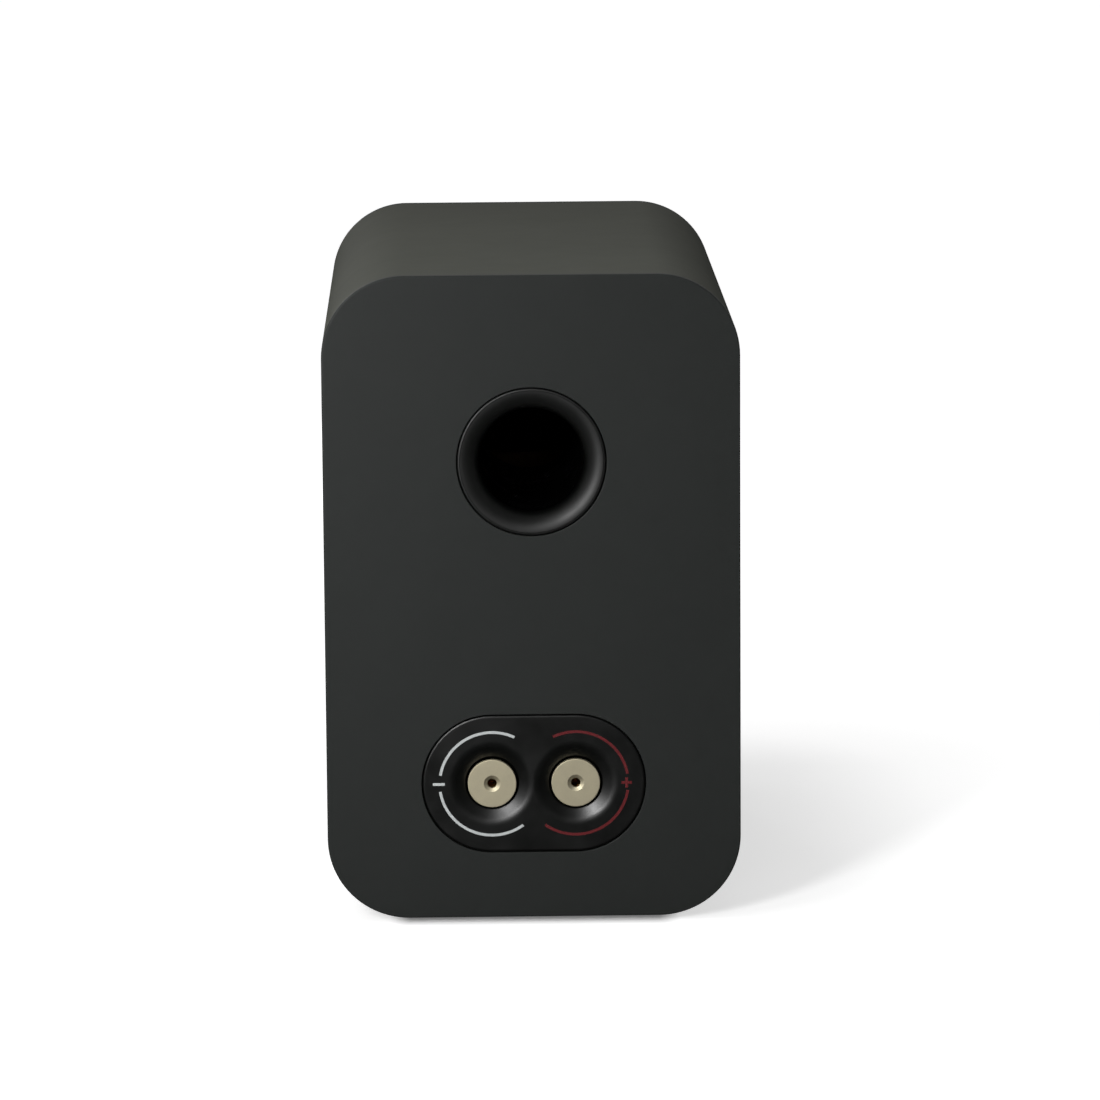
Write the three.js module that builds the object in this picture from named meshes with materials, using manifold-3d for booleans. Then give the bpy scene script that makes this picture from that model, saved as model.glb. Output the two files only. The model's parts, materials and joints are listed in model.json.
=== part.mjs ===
// A passive two-way bookshelf loudspeaker: a round-cornered cabinet with a woofer and a dome tweeter in
// front, and a flared reflex port and a dished terminal tray with two binding posts behind.
//
// Millimetres. Seen from the front, -X is left and +X is right; +Y runs to the rear and +Z is up. The origin
// is on the surface that the feet stand on, under the middle of the whole loudspeaker.

import * as THREE from "three";
import { mergeVertices } from "three/addons/utils/BufferGeometryUtils.js";
import Module from "manifold-3d";

// ---------------------------------------------------------------- clearances
const glueGap = 0.2; // between faces that are glued, pressed or screwed together
const rebateClearance = 0.45; // round a flange that drops into a rebate
const boreClearance = 0.3; // round a screw, a stud or a tube in its hole

// ---------------------------------------------------------------- layout of the baffle
const wooferFlangeRadius = 71;
const faceplateRadius = 42; // the tweeter's
const trimOverlap = 4; // of a trim ring over the baffle, beyond the driver's flange
const sideMargin = 15; // from the woofer's trim ring to the cabinet's side
const lowerMargin = 17; // from the woofer's trim ring to the cabinet's underside
const driverSpacing = 6; // between the two trim rings
const upperMargin = 17; // from the tweeter's trim ring to the cabinet's top

// ---------------------------------------------------------------- cabinet
const cabinetDepth = 280;
const cornerRadius = 35.5; // outside, along the four long edges
const wallThickness = 15;
const baffleLip = 4; // the part of the baffle that covers the wrap's end
const bafflePlug = 16; // the part of the baffle that enters the wrap
const rearLip = 3;
const rearPlug = 15;
const braceThickness = 12;
const braceRail = 20; // width of the brace's frame and of its cross rail
const braceSetback = 108; // from the baffle's face to the brace's front face
const footRadius = 8;
const footHeight = 2;
const footInset = 36; // from the cabinet's side, and from its front or rear, to the foot's centre

// ---------------------------------------------------------------- reflex port
const portDrop = 81; // from the cabinet's top to the port's axis
const portFlangeRadius = 32;
const portFlangeThickness = 3;
const portRim = 0.4; // flat ring between the flange's edge and the flare
const portThroatRadius = 22.5;
const portFlareDepth = 8.4;
const portWall = 2.5;
const portLength = 135;
const portInnerFlare = 3; // how far the inner end opens out
const portInnerFlareDepth = 12;

// ---------------------------------------------------------------- terminal tray
const trayHeight = 59.5; // from the cabinet's underside to the tray's centre
const dishMouthRadius = 17; // where a dish's cone would meet the tray's face
const dishMouthEasing = 1.8; // of the edge between them, along each
const dishWellRadius = 11.5; // straight, round the knob
const dishConeDepth = 2.5; // from the tray's face to the well's edge
const dishDepth = 18;
const dishLand = 2.4; // between the two mouths
const trayBorder = 13.2; // from a mouth to the tray's edge
const trayFlangeThickness = 3;
const trayWall = 2.5;
const gasketThickness = 0.8;
const gasketWidth = 8;

// ---------------------------------------------------------------- binding posts
const threadRadius = 3;
const bananaBoreRadius = 2;
const bananaBoreDepth = 18;
const wireHoleRadius = 1.25;
const collarRadius = 7.5;
const collarThickness = 2;
const studTail = 14; // behind the tray's floor, inside the cabinet
const clampRadius = 8.2;
const clampThickness = 1.6;
const clampPlay = 0.3; // gap at each face of the clamp washer with the knob run down
const sleeveWall = 2.2; // of the threaded sleeve behind the cap
const gripDepth = 4.7; // of the plastic grip round the sleeve
const knobFlutes = 20;
const knobFluteDepth = 0.7;
const capOverhang = 0.4; // of the cap beyond the grip
const capThickness = 2.2;
const capRecess = 0.4; // of the cap's face behind the rear panel's face
const capHoleRadius = 2.3;
const capCountersink = 1.2; // how much wider the hole is at the face
const nutWall = 2; // from the thread to a flat of the nut
const nutThickness = 4.5;
const tagThickness = 0.8;
const tagWidth = 5;
const tagLength = 17; // from the stud's axis to the tab's end

// ---------------------------------------------------------------- woofer
const wooferFlangeThickness = 5;
const wooferGasketThickness = 1.5;
const wooferSeatWidth = 12; // from the flange's edge to the baffle's cutout
const wooferScrewInset = 5.2; // from the flange's edge to the screw circle
const wooferScrews = 4;
const wooferTrimProud = 2.6; // of the baffle
const surroundSeatDepth = 1.4;
const surroundLip = 4; // glued width, to the chassis and to the cone
const surroundThickness = 0.9;
const surroundRollWidth = 7.6;
const surroundRollHeight = 2.5;
const basketWall = 2.8;
const basketDepth = 41; // flange face to the top plate's seat
const basketTaper = 15; // how much narrower the chassis is at its foot
const basketFootHeight = 12;
const basketFloor = 3;
const basketWindows = 6;
const basketWindowWidth = 30;
const ledgeWidth = 6; // of the step that the spider is glued to
const coneRimDepth = 3;
const coneDepth = 20; // rim to centre
const coneCurve = 2.4; // exponent of the cone's continuous curve
const coneThickness = 1.2;
const coilRadius = 13; // inside of the former
const formerThickness = 0.4;
const windingThickness = 0.6;
const windingOverhang = 3.2; // of the winding beyond each face of the top plate
const coilGap = 0.6; // between the coil and the steel at each side
const topPlateThickness = 5;
const topPlateInset = 3; // from the chassis's foot to the top plate's edge
const magnetOverhang = 5; // beyond the top plate
const magnetBoreGap = 6; // from the coil's outside to the magnet
const magnetThickness = 16;
const backPlateThickness = 5;
const poleWall = 7.4; // from the vent to the pole's outside
const spiderThickness = 0.8;
const spiderWaves = 3;
const spiderWaveHeight = 1.1;

// ---------------------------------------------------------------- tweeter
const faceplateThickness = 4;
const isolationThickness = 1.5;
const tweeterSeatWidth = 7.5; // from the faceplate's edge to the baffle's cutout
const tweeterScrewInset = 4.6;
const tweeterScrews = 3;
const tweeterTrimProud = 2;
const tweeterTrimInset = 2; // from the horn's mouth to the trim ring
const domeRadius = 12.5;
const domeHeight = 5;
const domeThickness = 0.7;
const domeRollWidth = 2.9;
const domeRollHeight = 1.4;
const domeSurroundThickness = 0.6;
const domeLip = 1.4;
const hornDepth = 7.6; // how much wider the horn's mouth is than its throat
const domeFormerThickness = 0.6;
const domeCoilLength = 6.2;
const tweeterPlateRadius = 30;
const tweeterPlateThickness = 4;
const tweeterMagnetOverhang = 3;
const tweeterMagnetBoreGap = 5; // from the coil's outside to the magnet
const tweeterMagnetThickness = 9;
const tweeterPoleWall = 7; // from the vent to the pole's outside
const chamberInset = 2; // from the yoke's edge to the chamber's side
const chamberDepth = 22;
const chamberWall = 2;

// ---------------------------------------------------------------- screws
const screwRadius = 1.8;
const screwHeadRadius = 3.5;
const screwHeadHeight = 2;
const screwLength = 16;

// ---------------------------------------------------------------- crossover, foam and leads
const boardWidth = 104;
const boardLength = 84;
const boardThickness = 1.6;
const boardEdge = 2; // from a part to the board's edge
const inductorRadius = 23;
const inductorBore = 10;
const inductorHeight = 22;
const smallInductorRadius = 16;
const smallInductorBore = 7;
const smallInductorHeight = 15;
const capacitorRadius = 9;
const capacitorLength = 34;
const smallCapacitorRadius = 7;
const smallCapacitorLength = 30;
const resistorSide = 10;
const resistorLength = 38;
const foamThickness = 22;
const foamLength = 104;
const coreRadius = 1.2; // of one of a lead's two cores

// ---------------------------------------------------------------- facets
const largeFacets = 28;
const mediumFacets = 20;
const smallFacets = 16;
const tinyFacets = 8;
const cornerSteps = 5; // in a quarter turn of the cabinet's corner
const mouthSteps = 4; // down a flare that is seen
const innerSteps = 2; // down a flare that is out of sight

// ---------------------------------------------------------------- derived sizes
const wooferTrimRadius = wooferFlangeRadius + trimOverlap;
const tweeterTrimRadius = faceplateRadius + trimOverlap;
const wooferHeight = lowerMargin + wooferTrimRadius;
const tweeterHeight = wooferHeight + wooferTrimRadius + driverSpacing + tweeterTrimRadius;
const cabinetWidth = 2 * (sideMargin + wooferTrimRadius);
const cabinetHeight = tweeterHeight + tweeterTrimRadius + upperMargin;
const rearFace = (cabinetDepth + wooferTrimProud) / 2; // y of the rear panel's outside
const baffleFace = rearFace - cabinetDepth; // y of the baffle's outside
const braceFront = baffleFace + braceSetback;
const braceBack = braceFront + braceThickness;
const chamberMiddle = (braceBack + rearFace - rearLip - rearPlug) / 2; // y between brace and rear panel
const portHeight = cabinetHeight - portDrop;
const postSpacing = 2 * dishMouthRadius + dishLand;

// ---------------------------------------------------------------- solids
const wasm = await Module();
wasm.setup();

/** A closed three.js geometry as a solid that can be cut and joined. */
function solidOf(geometry) {
  const loose = geometry.index ? geometry.toNonIndexed() : geometry;
  const bare = new THREE.BufferGeometry().setAttribute("position", loose.getAttribute("position"));
  const merged = mergeVertices(bare, 1e-4);
  return new wasm.Manifold(
    new wasm.Mesh({
      numProp: 3,
      vertProperties: merged.attributes.position.array,
      triVerts: new Uint32Array(merged.index.array),
    }),
  );
}

/** A solid as a three.js geometry. */
function geometryOf(solid) {
  const { vertProperties, triVerts } = solid.getMesh();
  const geometry = new THREE.BufferGeometry();
  geometry.setAttribute("position", new THREE.BufferAttribute(vertProperties, 3));
  geometry.setIndex(new THREE.BufferAttribute(triVerts, 1));
  geometry.computeVertexNormals();
  return geometry;
}

/** The geometries joined into one. */
function join(first, ...others) {
  return geometryOf(others.reduce((solid, part) => solid.add(solidOf(part)), solidOf(first)));
}

/** The base with every tool cut out of it. */
function cut(base, ...tools) {
  return geometryOf(tools.reduce((solid, tool) => solid.subtract(solidOf(tool)), solidOf(base)));
}

/** steps + 1 values of make(share), with share running from 0 to 1. */
function sweep(steps, make) {
  return Array.from({ length: steps + 1 }, (_, i) => make(i / steps));
}

/** A profile of [radius, y] pairs turned about Y. It starts and ends on the axis, or is closed here. */
function revolve(profile, facets) {
  const points = profile.map(([radius, y]) => new THREE.Vector2(radius, y));
  const onAxis = profile[0][0] === 0 && profile.at(-1)[0] === 0;
  if (!onAxis) points.push(points[0].clone());
  if (THREE.ShapeUtils.area(points) < 0) points.reverse();
  return new THREE.LatheGeometry(points, facets);
}

/** A front surface given as [radius, y] pairs, made into a skin of one thickness along Y. */
function skin(front, thickness, facets) {
  const back = front.map(([radius, y]) => [radius, y + thickness]).reverse();
  return revolve([...front, ...back], facets);
}

/** A flat ring about Y, from y = near to y = far. */
function ring(inner, outer, near, far, facets) {
  const profile = [
    [inner, near],
    [outer, near],
    [outer, far],
    [inner, far],
  ];
  return revolve(profile, facets);
}

/** A solid rod about Y, from y = near to y = far. */
function rod(radius, near, far, facets) {
  return ring(0, radius, near, far, facets);
}

/** Points of an arc in X and Z. */
function arc(x, z, radius, from, to, steps) {
  return sweep(steps, (share) => {
    const angle = from + (to - from) * share;
    return new THREE.Vector2(x + radius * Math.cos(angle), z + radius * Math.sin(angle));
  });
}

/** Points of a circle about the origin. */
function circle(radius, facets) {
  return arc(0, 0, radius, 0, 2 * Math.PI, facets).slice(0, -1);
}

/** Points of an outline with two round ends, centred on the origin. */
function stadium(spacing, radius) {
  const quarter = Math.PI / 2;
  return [
    ...arc(spacing / 2, 0, radius, -quarter, quarter, largeFacets / 2),
    ...arc(-spacing / 2, 0, radius, quarter, 3 * quarter, largeFacets / 2),
  ];
}

/** Points of a rectangle with round corners, centred on x = 0, from z = low to z = high. */
function roundedRectangle(width, low, high, radius, steps) {
  const x = width / 2 - radius;
  const quarter = Math.PI / 2;
  return [
    ...arc(x, low + radius, radius, -quarter, 0, steps),
    ...arc(x, high - radius, radius, 0, quarter, steps),
    ...arc(-x, high - radius, radius, quarter, 2 * quarter, steps),
    ...arc(-x, low + radius, radius, 2 * quarter, 3 * quarter, steps),
  ];
}

/** A flat outline in X and Z with holes in it, from y = near to y = far. */
function plate(near, far, outline, ...holes) {
  const shape = new THREE.Shape(outline);
  shape.holes = holes.map((hole) => new THREE.Path(hole));
  const slab = new THREE.ExtrudeGeometry(shape, { depth: far - near, bevelEnabled: false });
  return slab.rotateX(Math.PI / 2).translate(0, far, 0);
}

/** Radius of an elliptical flare: flush with its face at depth 0, and straight from flareDepth on. */
function flareRadius(depth, mouth, throat, flareDepth) {
  const rise = Math.max(0, 1 - depth / flareDepth);
  return throat + (mouth - throat) * (1 - Math.sqrt(1 - rise * rise));
}

/** [radius, depth] pairs down an elliptical flare from depth = near, closer together where it turns fast. */
function flare(mouth, throat, flareDepth, steps, near = 0) {
  return sweep(steps, (share) => {
    const depth = near + (flareDepth - near) * share ** 1.6;
    return [flareRadius(depth, mouth, throat, flareDepth), depth];
  });
}

/** count places evenly spaced round a circle in X and Z. */
function placesOn(count, radius, start) {
  return Array.from({ length: count }, (_, i) => {
    const angle = start + (i * 2 * Math.PI) / count;
    return { x: radius * Math.cos(angle), z: radius * Math.sin(angle), angle };
  });
}

/** A rod at each place, to cut a pattern of holes. */
function rodsAt(places, radius, near, far) {
  return places.map(({ x, z }) => rod(radius, near, far, tinyFacets).translate(x, 0, z));
}

// ---------------------------------------------------------------- finishes and placing
function finish(color, roughness, metalness) {
  return new THREE.MeshStandardMaterial({ color, roughness, metalness });
}

const wrapFoil = finish(0x44443f, 0.5, 0);
const panelFoil = finish(0x2d2e2d, 0.6, 0);
const rawBoard = finish(0x8a6a48, 0.9, 0);
const blackPlastic = finish(0x151615, 0.42, 0);
const greyPlastic = finish(0x2b2c2d, 0.5, 0);
const rubber = finish(0x121212, 0.75, 0);
const foam = finish(0x2a2a2c, 0.95, 0);
const nickel = finish(0xb5ad93, 0.35, 1);
const brass = finish(0xb08d4a, 0.35, 1);
const steel = finish(0x8c8f92, 0.4, 1);
const blackSteel = finish(0x1c1c1d, 0.5, 0.8);
const satinTrim = finish(0x3a3b3d, 0.35, 0.9);
const ferrite = finish(0x2c2b2b, 0.85, 0.1);
const copper = finish(0xb06a3c, 0.35, 1);
const conePaper = finish(0x1d1e20, 0.7, 0);
const silk = finish(0x17181a, 0.85, 0);
const spiderCloth = finish(0xb89a52, 0.9, 0);
const circuitBoard = finish(0x1f5a34, 0.5, 0);
const capacitorFilm = finish(0x8c2a22, 0.4, 0);
const cement = finish(0xd8d4c8, 0.85, 0);
const cableSheath = finish(0x1a1a1a, 0.6, 0);

function piece(name, geometry, material, x = 0, y = 0, z = 0) {
  const mesh = new THREE.Mesh(geometry, material);
  mesh.name = name;
  mesh.position.set(x, y, z);
  return mesh;
}

/** Pieces gathered at one height above the cabinet's underside. */
function atHeight(height, ...pieces) {
  const group = new THREE.Group();
  group.add(...pieces);
  group.position.z = height;
  return group;
}

// ---------------------------------------------------------------- cabinet
const wooferScrewPlaces = placesOn(wooferScrews, wooferFlangeRadius - wooferScrewInset, Math.PI / 4);
const tweeterScrewPlaces = placesOn(tweeterScrews, faceplateRadius - tweeterScrewInset, Math.PI / 2);

/** The cabinet's outline, drawn in from the outside by inset. */
function cabinetOutline(inset) {
  const width = cabinetWidth - 2 * inset;
  return roundedRectangle(width, inset, cabinetHeight - inset, cornerRadius - inset, cornerSteps);
}

/** The bent shell between the baffle and the rear panel. */
function cabinetWrap() {
  const near = baffleFace + baffleLip + glueGap;
  const far = rearFace - rearLip - glueGap;
  return plate(near, far, cabinetOutline(0), cabinetOutline(wallThickness));
}

/** A panel whose lip covers the wrap's end and whose plug enters it, with its face at y = 0. */
function endPanel(lip, plug) {
  const lipSlab = plate(0, lip, cabinetOutline(0));
  const plugSlab = plate(0, lip + plug, cabinetOutline(wallThickness + glueGap));
  return join(lipSlab, plugSlab);
}

/** A stepped round hole for a driver, with pilot holes for its screws. */
function driverSeat(height, flangeRadius, rebateDepth, seatWidth, screwPlaces, facets) {
  const beyond = baffleLip + bafflePlug + 1;
  const tools = [
    rod(flangeRadius + rebateClearance, -1, rebateDepth, facets),
    rod(flangeRadius - seatWidth, -1, beyond, facets),
    ...rodsAt(screwPlaces, screwRadius + boreClearance, -1, screwLength + 1),
  ];
  return tools.map((tool) => tool.translate(0, 0, height));
}

function frontBaffle() {
  const wooferRebate = wooferFlangeThickness + wooferGasketThickness + 2 * glueGap;
  const tweeterRebate = faceplateThickness + isolationThickness + 2 * glueGap;
  return cut(
    endPanel(baffleLip, bafflePlug),
    ...driverSeat(
      wooferHeight,
      wooferFlangeRadius,
      wooferRebate,
      wooferSeatWidth,
      wooferScrewPlaces,
      largeFacets,
    ),
    ...driverSeat(
      tweeterHeight,
      faceplateRadius,
      tweeterRebate,
      tweeterSeatWidth,
      tweeterScrewPlaces,
      mediumFacets,
    ),
  );
}

function rearPanel() {
  const beyond = rearLip + rearPlug + 1;
  const portNeck = flareRadius(portFlangeThickness, portMouthRadius, portThroatRadius, portFlareDepth);
  const portHoles = [
    rod(portFlangeRadius + rebateClearance, -1, portFlangeThickness + glueGap, largeFacets),
    rod(portNeck + portWall + boreClearance, -1, beyond, largeFacets),
  ];
  const trayRebate = trayFlangeThickness + gasketThickness + 2 * glueGap;
  const trayHoles = [
    plate(-1, trayRebate, stadium(postSpacing, trayEndRadius + rebateClearance)),
    plate(-1, beyond, stadium(postSpacing, cupRadius + boreClearance)),
  ];
  return cut(
    endPanel(rearLip, rearPlug),
    ...portHoles.map((tool) => tool.translate(0, 0, portHeight)),
    ...trayHoles.map((tool) => tool.translate(0, 0, trayHeight)),
  );
}

/** A frame across the inside of the wrap, with a cross rail between the two drivers. */
function windowBrace() {
  const edge = wallThickness + glueGap;
  const width = cabinetWidth - 2 * (edge + braceRail);
  const railMiddle = wooferHeight + wooferTrimRadius + driverSpacing / 2;
  const radius = braceRail / 2;
  const lower = roundedRectangle(width, edge + braceRail, railMiddle - radius, radius, 2);
  const upper = roundedRectangle(width, railMiddle + radius, cabinetHeight - edge - braceRail, radius, 2);
  return plate(0, braceThickness, cabinetOutline(edge), lower, upper);
}

function feet() {
  const x = cabinetWidth / 2 - footInset;
  const height = footHeight - glueGap;
  const pad = new THREE.CylinderGeometry(footRadius, footRadius, height, smallFacets).rotateX(Math.PI / 2);
  const foot = (name, px, py) => piece(name, pad, rubber, px, py, -glueGap - height / 2);
  return [
    foot("foot_front_left", -x, baffleFace + footInset),
    foot("foot_front_right", x, baffleFace + footInset),
    foot("foot_rear_left", -x, rearFace - footInset),
    foot("foot_rear_right", x, rearFace - footInset),
  ];
}

/** The foam slab glued under the cabinet's top, between its two rounded corners. */
function dampingFoam() {
  const top = cabinetHeight - wallThickness - glueGap;
  const width = cabinetWidth - 2 * cornerRadius;
  const slab = new THREE.BoxGeometry(width, foamLength, foamThickness);
  return piece("damping_foam", slab, foam, 0, chamberMiddle, top - foamThickness / 2);
}

// ---------------------------------------------------------------- reflex port, +Y inwards from its face
const portMouthRadius = portFlangeRadius - portRim;

/** The port in one moulding: a flange and a flare, a straight tube, and a small flare at its inner end. */
function reflexPort() {
  const innerMouth = portThroatRadius + portInnerFlare;
  const fromInnerEnd = ([radius, depth]) => [radius, portLength - depth];
  const inside = [
    ...flare(portMouthRadius, portThroatRadius, portFlareDepth, mouthSteps),
    ...flare(innerMouth, portThroatRadius, portInnerFlareDepth, innerSteps).map(fromInnerEnd).reverse(),
  ];
  const outside = [
    ...flare(innerMouth + portWall, portThroatRadius + portWall, portInnerFlareDepth, innerSteps).map(
      fromInnerEnd,
    ),
    ...flare(
      portMouthRadius + portWall,
      portThroatRadius + portWall,
      portFlareDepth,
      innerSteps,
      portFlangeThickness,
    ).reverse(),
    [portFlangeRadius, portFlangeThickness],
    [portFlangeRadius, 0],
  ];
  return revolve([...inside, ...outside], largeFacets);
}

// ---------------------------------------------------------------- terminals, +Y inwards from their face
const trayEndRadius = dishMouthRadius + trayBorder;
const cupRadius = dishWellRadius + trayWall;
const trayFloorBack = dishDepth + trayWall;
const collarBack = dishDepth - glueGap;
const collarFront = collarBack - collarThickness;
const clampBack = collarFront - clampPlay;
const clampFront = clampBack - clampThickness;
const knobBack = clampFront - clampPlay;
const capBack = capRecess + capThickness;
const threadClearance = threadRadius + boreClearance;
const sleeveRadius = threadClearance + sleeveWall;
const gripRadius = sleeveRadius + gripDepth;
const studFront = capBack + boreClearance;
const tagFront = trayFloorBack + glueGap;
const tagBack = tagFront + tagThickness;
const nutFront = tagBack + glueGap;

/** [radius, depth] from the tray's face over a parabola that eases the mouth, to the end of the cone. */
function dishCone() {
  const slant = Math.hypot(dishMouthRadius - dishWellRadius, dishConeDepth);
  const eased = sweep(innerSteps, (share) => {
    const outwards = dishMouthEasing * (1 - share) ** 2;
    const downwards = (dishMouthEasing * share ** 2) / slant;
    const narrowing = downwards * (dishMouthRadius - dishWellRadius);
    return [dishMouthRadius + outwards - narrowing, downwards * dishConeDepth];
  });
  return [...eased, [dishWellRadius, dishConeDepth]];
}

/** A stadium-shaped plate with a dish and a deep cup round each post. */
function terminalTray() {
  const dish = revolve(
    [
      [0, -1],
      [dishMouthRadius + dishMouthEasing, -1],
      ...dishCone(),
      [dishWellRadius, dishDepth],
      [0, dishDepth],
    ],
    mediumFacets,
  );
  const cup = rod(cupRadius, trayFlangeThickness / 2, trayFloorBack, mediumFacets);
  const hole = rod(threadClearance, 0, trayFloorBack + 1, smallFacets);
  const atPosts = (tool) => [-1, 1].map((side) => tool.clone().translate((side * postSpacing) / 2, 0, 0));
  const shell = join(plate(0, trayFlangeThickness, stadium(postSpacing, trayEndRadius)), ...atPosts(cup));
  return cut(shell, ...atPosts(dish), ...atPosts(hole));
}

function terminalGasket() {
  const inside = stadium(postSpacing, trayEndRadius - gasketWidth);
  return plate(0, gasketThickness, stadium(postSpacing, trayEndRadius), inside);
}

/** A threaded stud with a collar, a banana bore down its middle and a wire hole across it. */
function postStud() {
  const boreEnd = studFront + bananaBoreDepth;
  const tail = trayFloorBack + studTail;
  const body = revolve(
    [
      [0, boreEnd],
      [bananaBoreRadius, boreEnd],
      [bananaBoreRadius, studFront],
      [threadRadius, studFront],
      [threadRadius, collarFront],
      [collarRadius, collarFront],
      [collarRadius, collarBack],
      [threadRadius, collarBack],
      [threadRadius, tail],
      [0, tail],
    ],
    smallFacets,
  );
  const wireHole = rod(wireHoleRadius, -2 * threadRadius, 2 * threadRadius, tinyFacets).rotateX(Math.PI / 2);
  return cut(body, wireHole.translate(0, clampBack - wireHoleRadius, 0));
}

/** The knob's fluted plastic grip, round the cap's sleeve. */
function knobBody() {
  const flutes = Array.from({ length: 2 * knobFlutes }, (_, i) => {
    const angle = (i * Math.PI) / knobFlutes;
    const radius = gripRadius - (i % 2) * knobFluteDepth;
    return new THREE.Vector2(radius * Math.cos(angle), radius * Math.sin(angle));
  });
  return plate(capBack + glueGap, knobBack, flutes, circle(sleeveRadius + glueGap, smallFacets));
}

/** The knob's metal cap, with a countersunk hole in its face and a threaded sleeve behind. */
function knobCap() {
  const capRadius = gripRadius + capOverhang;
  return revolve(
    [
      [capHoleRadius, capRecess + capCountersink],
      [capHoleRadius + capCountersink, capRecess],
      [capRadius, capRecess],
      [capRadius, capBack],
      [sleeveRadius, capBack],
      [sleeveRadius, knobBack],
      [threadClearance, knobBack],
      [threadClearance, capBack],
      [capHoleRadius, capBack],
    ],
    smallFacets,
  );
}

/** A flat ring tag whose tab hangs down for soldering. */
function solderTag() {
  const eye = rod(threadClearance + tagWidth / 2, tagFront, tagBack, smallFacets);
  const tab = new THREE.BoxGeometry(tagWidth, tagThickness, tagLength);
  tab.translate(0, (tagFront + tagBack) / 2, -tagLength / 2);
  return cut(join(eye, tab), rod(threadClearance, tagFront - 1, tagBack + 1, smallFacets));
}

function postNut() {
  const corner = (threadClearance + nutWall) / Math.cos(Math.PI / 6);
  return plate(nutFront, nutFront + nutThickness, circle(corner, 6), circle(threadClearance, smallFacets));
}

/** One post with its knob, from the cap outside to the nut inside. */
function bindingPost(name, x) {
  const washer = ring(threadClearance, clampRadius, clampFront, clampBack, smallFacets);
  return [
    piece(`knob_cap_${name}`, knobCap(), nickel, x),
    piece(`knob_body_${name}`, knobBody(), blackPlastic, x),
    piece(`clamp_washer_${name}`, washer, nickel, x),
    piece(`post_stud_${name}`, postStud(), brass, x),
    piece(`solder_tag_${name}`, solderTag(), brass, x),
    piece(`post_nut_${name}`, postNut(), steel, x),
  ];
}

function terminals() {
  return [
    piece("terminal_tray", terminalTray(), blackPlastic),
    piece("terminal_gasket", terminalGasket(), foam, 0, trayFlangeThickness + glueGap),
    ...bindingPost("negative", -postSpacing / 2),
    ...bindingPost("positive", postSpacing / 2),
  ];
}

// ---------------------------------------------------------------- parts common to both drivers
/** A pan-head wood screw along +Y, with the top of its head just behind y = 0. */
function screw() {
  const neck = glueGap + screwHeadHeight;
  const tip = glueGap + screwLength;
  const profile = [
    [0, glueGap],
    [screwHeadRadius, glueGap],
    [screwHeadRadius, neck],
    [screwRadius, neck],
    [screwRadius, tip - 2 * screwRadius],
    [0, tip],
  ];
  return revolve(profile, tinyFacets);
}

/** The numbered screws of a driver. */
function screws(name, places) {
  return places.map(({ x, z }, i) => piece(`${name}_screw_${i + 1}`, screw(), blackSteel, x, 0, z));
}

/** Screw holes through a flange, each with a counterbore that sinks the screw's head. */
function flangeHoles(places, thickness) {
  const headSeat = glueGap + screwHeadHeight + boreClearance;
  return [
    ...rodsAt(places, screwRadius + boreClearance, -1, thickness + 1),
    ...rodsAt(places, screwHeadRadius + boreClearance, -1, headSeat),
  ];
}

/** The compressible ring under a driver's flange, pierced by the screws. */
function seatRing(outer, width, thickness, places, facets) {
  const flat = ring(outer - width + boreClearance, outer, 0, thickness, facets);
  return cut(flat, ...rodsAt(places, screwRadius + boreClearance, -1, thickness + 1));
}

/** A bevelled ring in front of the baffle that hides a driver's flange and screws. */
function trimRing(inner, outer, proud, facets) {
  const bevel = proud / 2;
  return revolve(
    [
      [inner, -glueGap],
      [inner, -bevel],
      [inner + 2 * bevel, -proud],
      [outer - bevel, -proud],
      [outer, -bevel],
      [outer, -glueGap],
    ],
    facets,
  );
}

/** A round steel back plate and its vented pole piece in one. */
function yoke(plateRadius, poleRadius, poleWallHere, poleFront, plateFront, thickness) {
  const vent = poleRadius - poleWallHere;
  const back = plateFront + thickness;
  return revolve(
    [
      [vent, poleFront],
      [poleRadius, poleFront],
      [poleRadius, plateFront],
      [plateRadius, plateFront],
      [plateRadius, back],
      [vent, back],
    ],
    mediumFacets,
  );
}

// ---------------------------------------------------------------- woofer, +Y inwards from the baffle
const cutoutRadius = wooferFlangeRadius - wooferSeatWidth;
const basketThroat = cutoutRadius - 4 * boreClearance; // outside of the chassis behind its flange
const basketFoot = basketThroat - basketTaper;
const footInside = basketFoot - basketWall;
const ledgeDepth = basketDepth - basketFootHeight;
const rollOuter = basketThroat - basketWall / 4;
const rollInner = rollOuter - surroundRollWidth;
const coneRadius = rollInner - boreClearance;
const surroundRadius = rollOuter + surroundLip;
const coilOutside = coilRadius + formerThickness + windingThickness;
const topPlateFront = basketDepth + glueGap;
const topPlateBack = topPlateFront + topPlateThickness;
const topPlateRadius = basketFoot - topPlateInset;
const magnetFront = topPlateBack + glueGap;
const magnetBack = magnetFront + magnetThickness;

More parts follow.
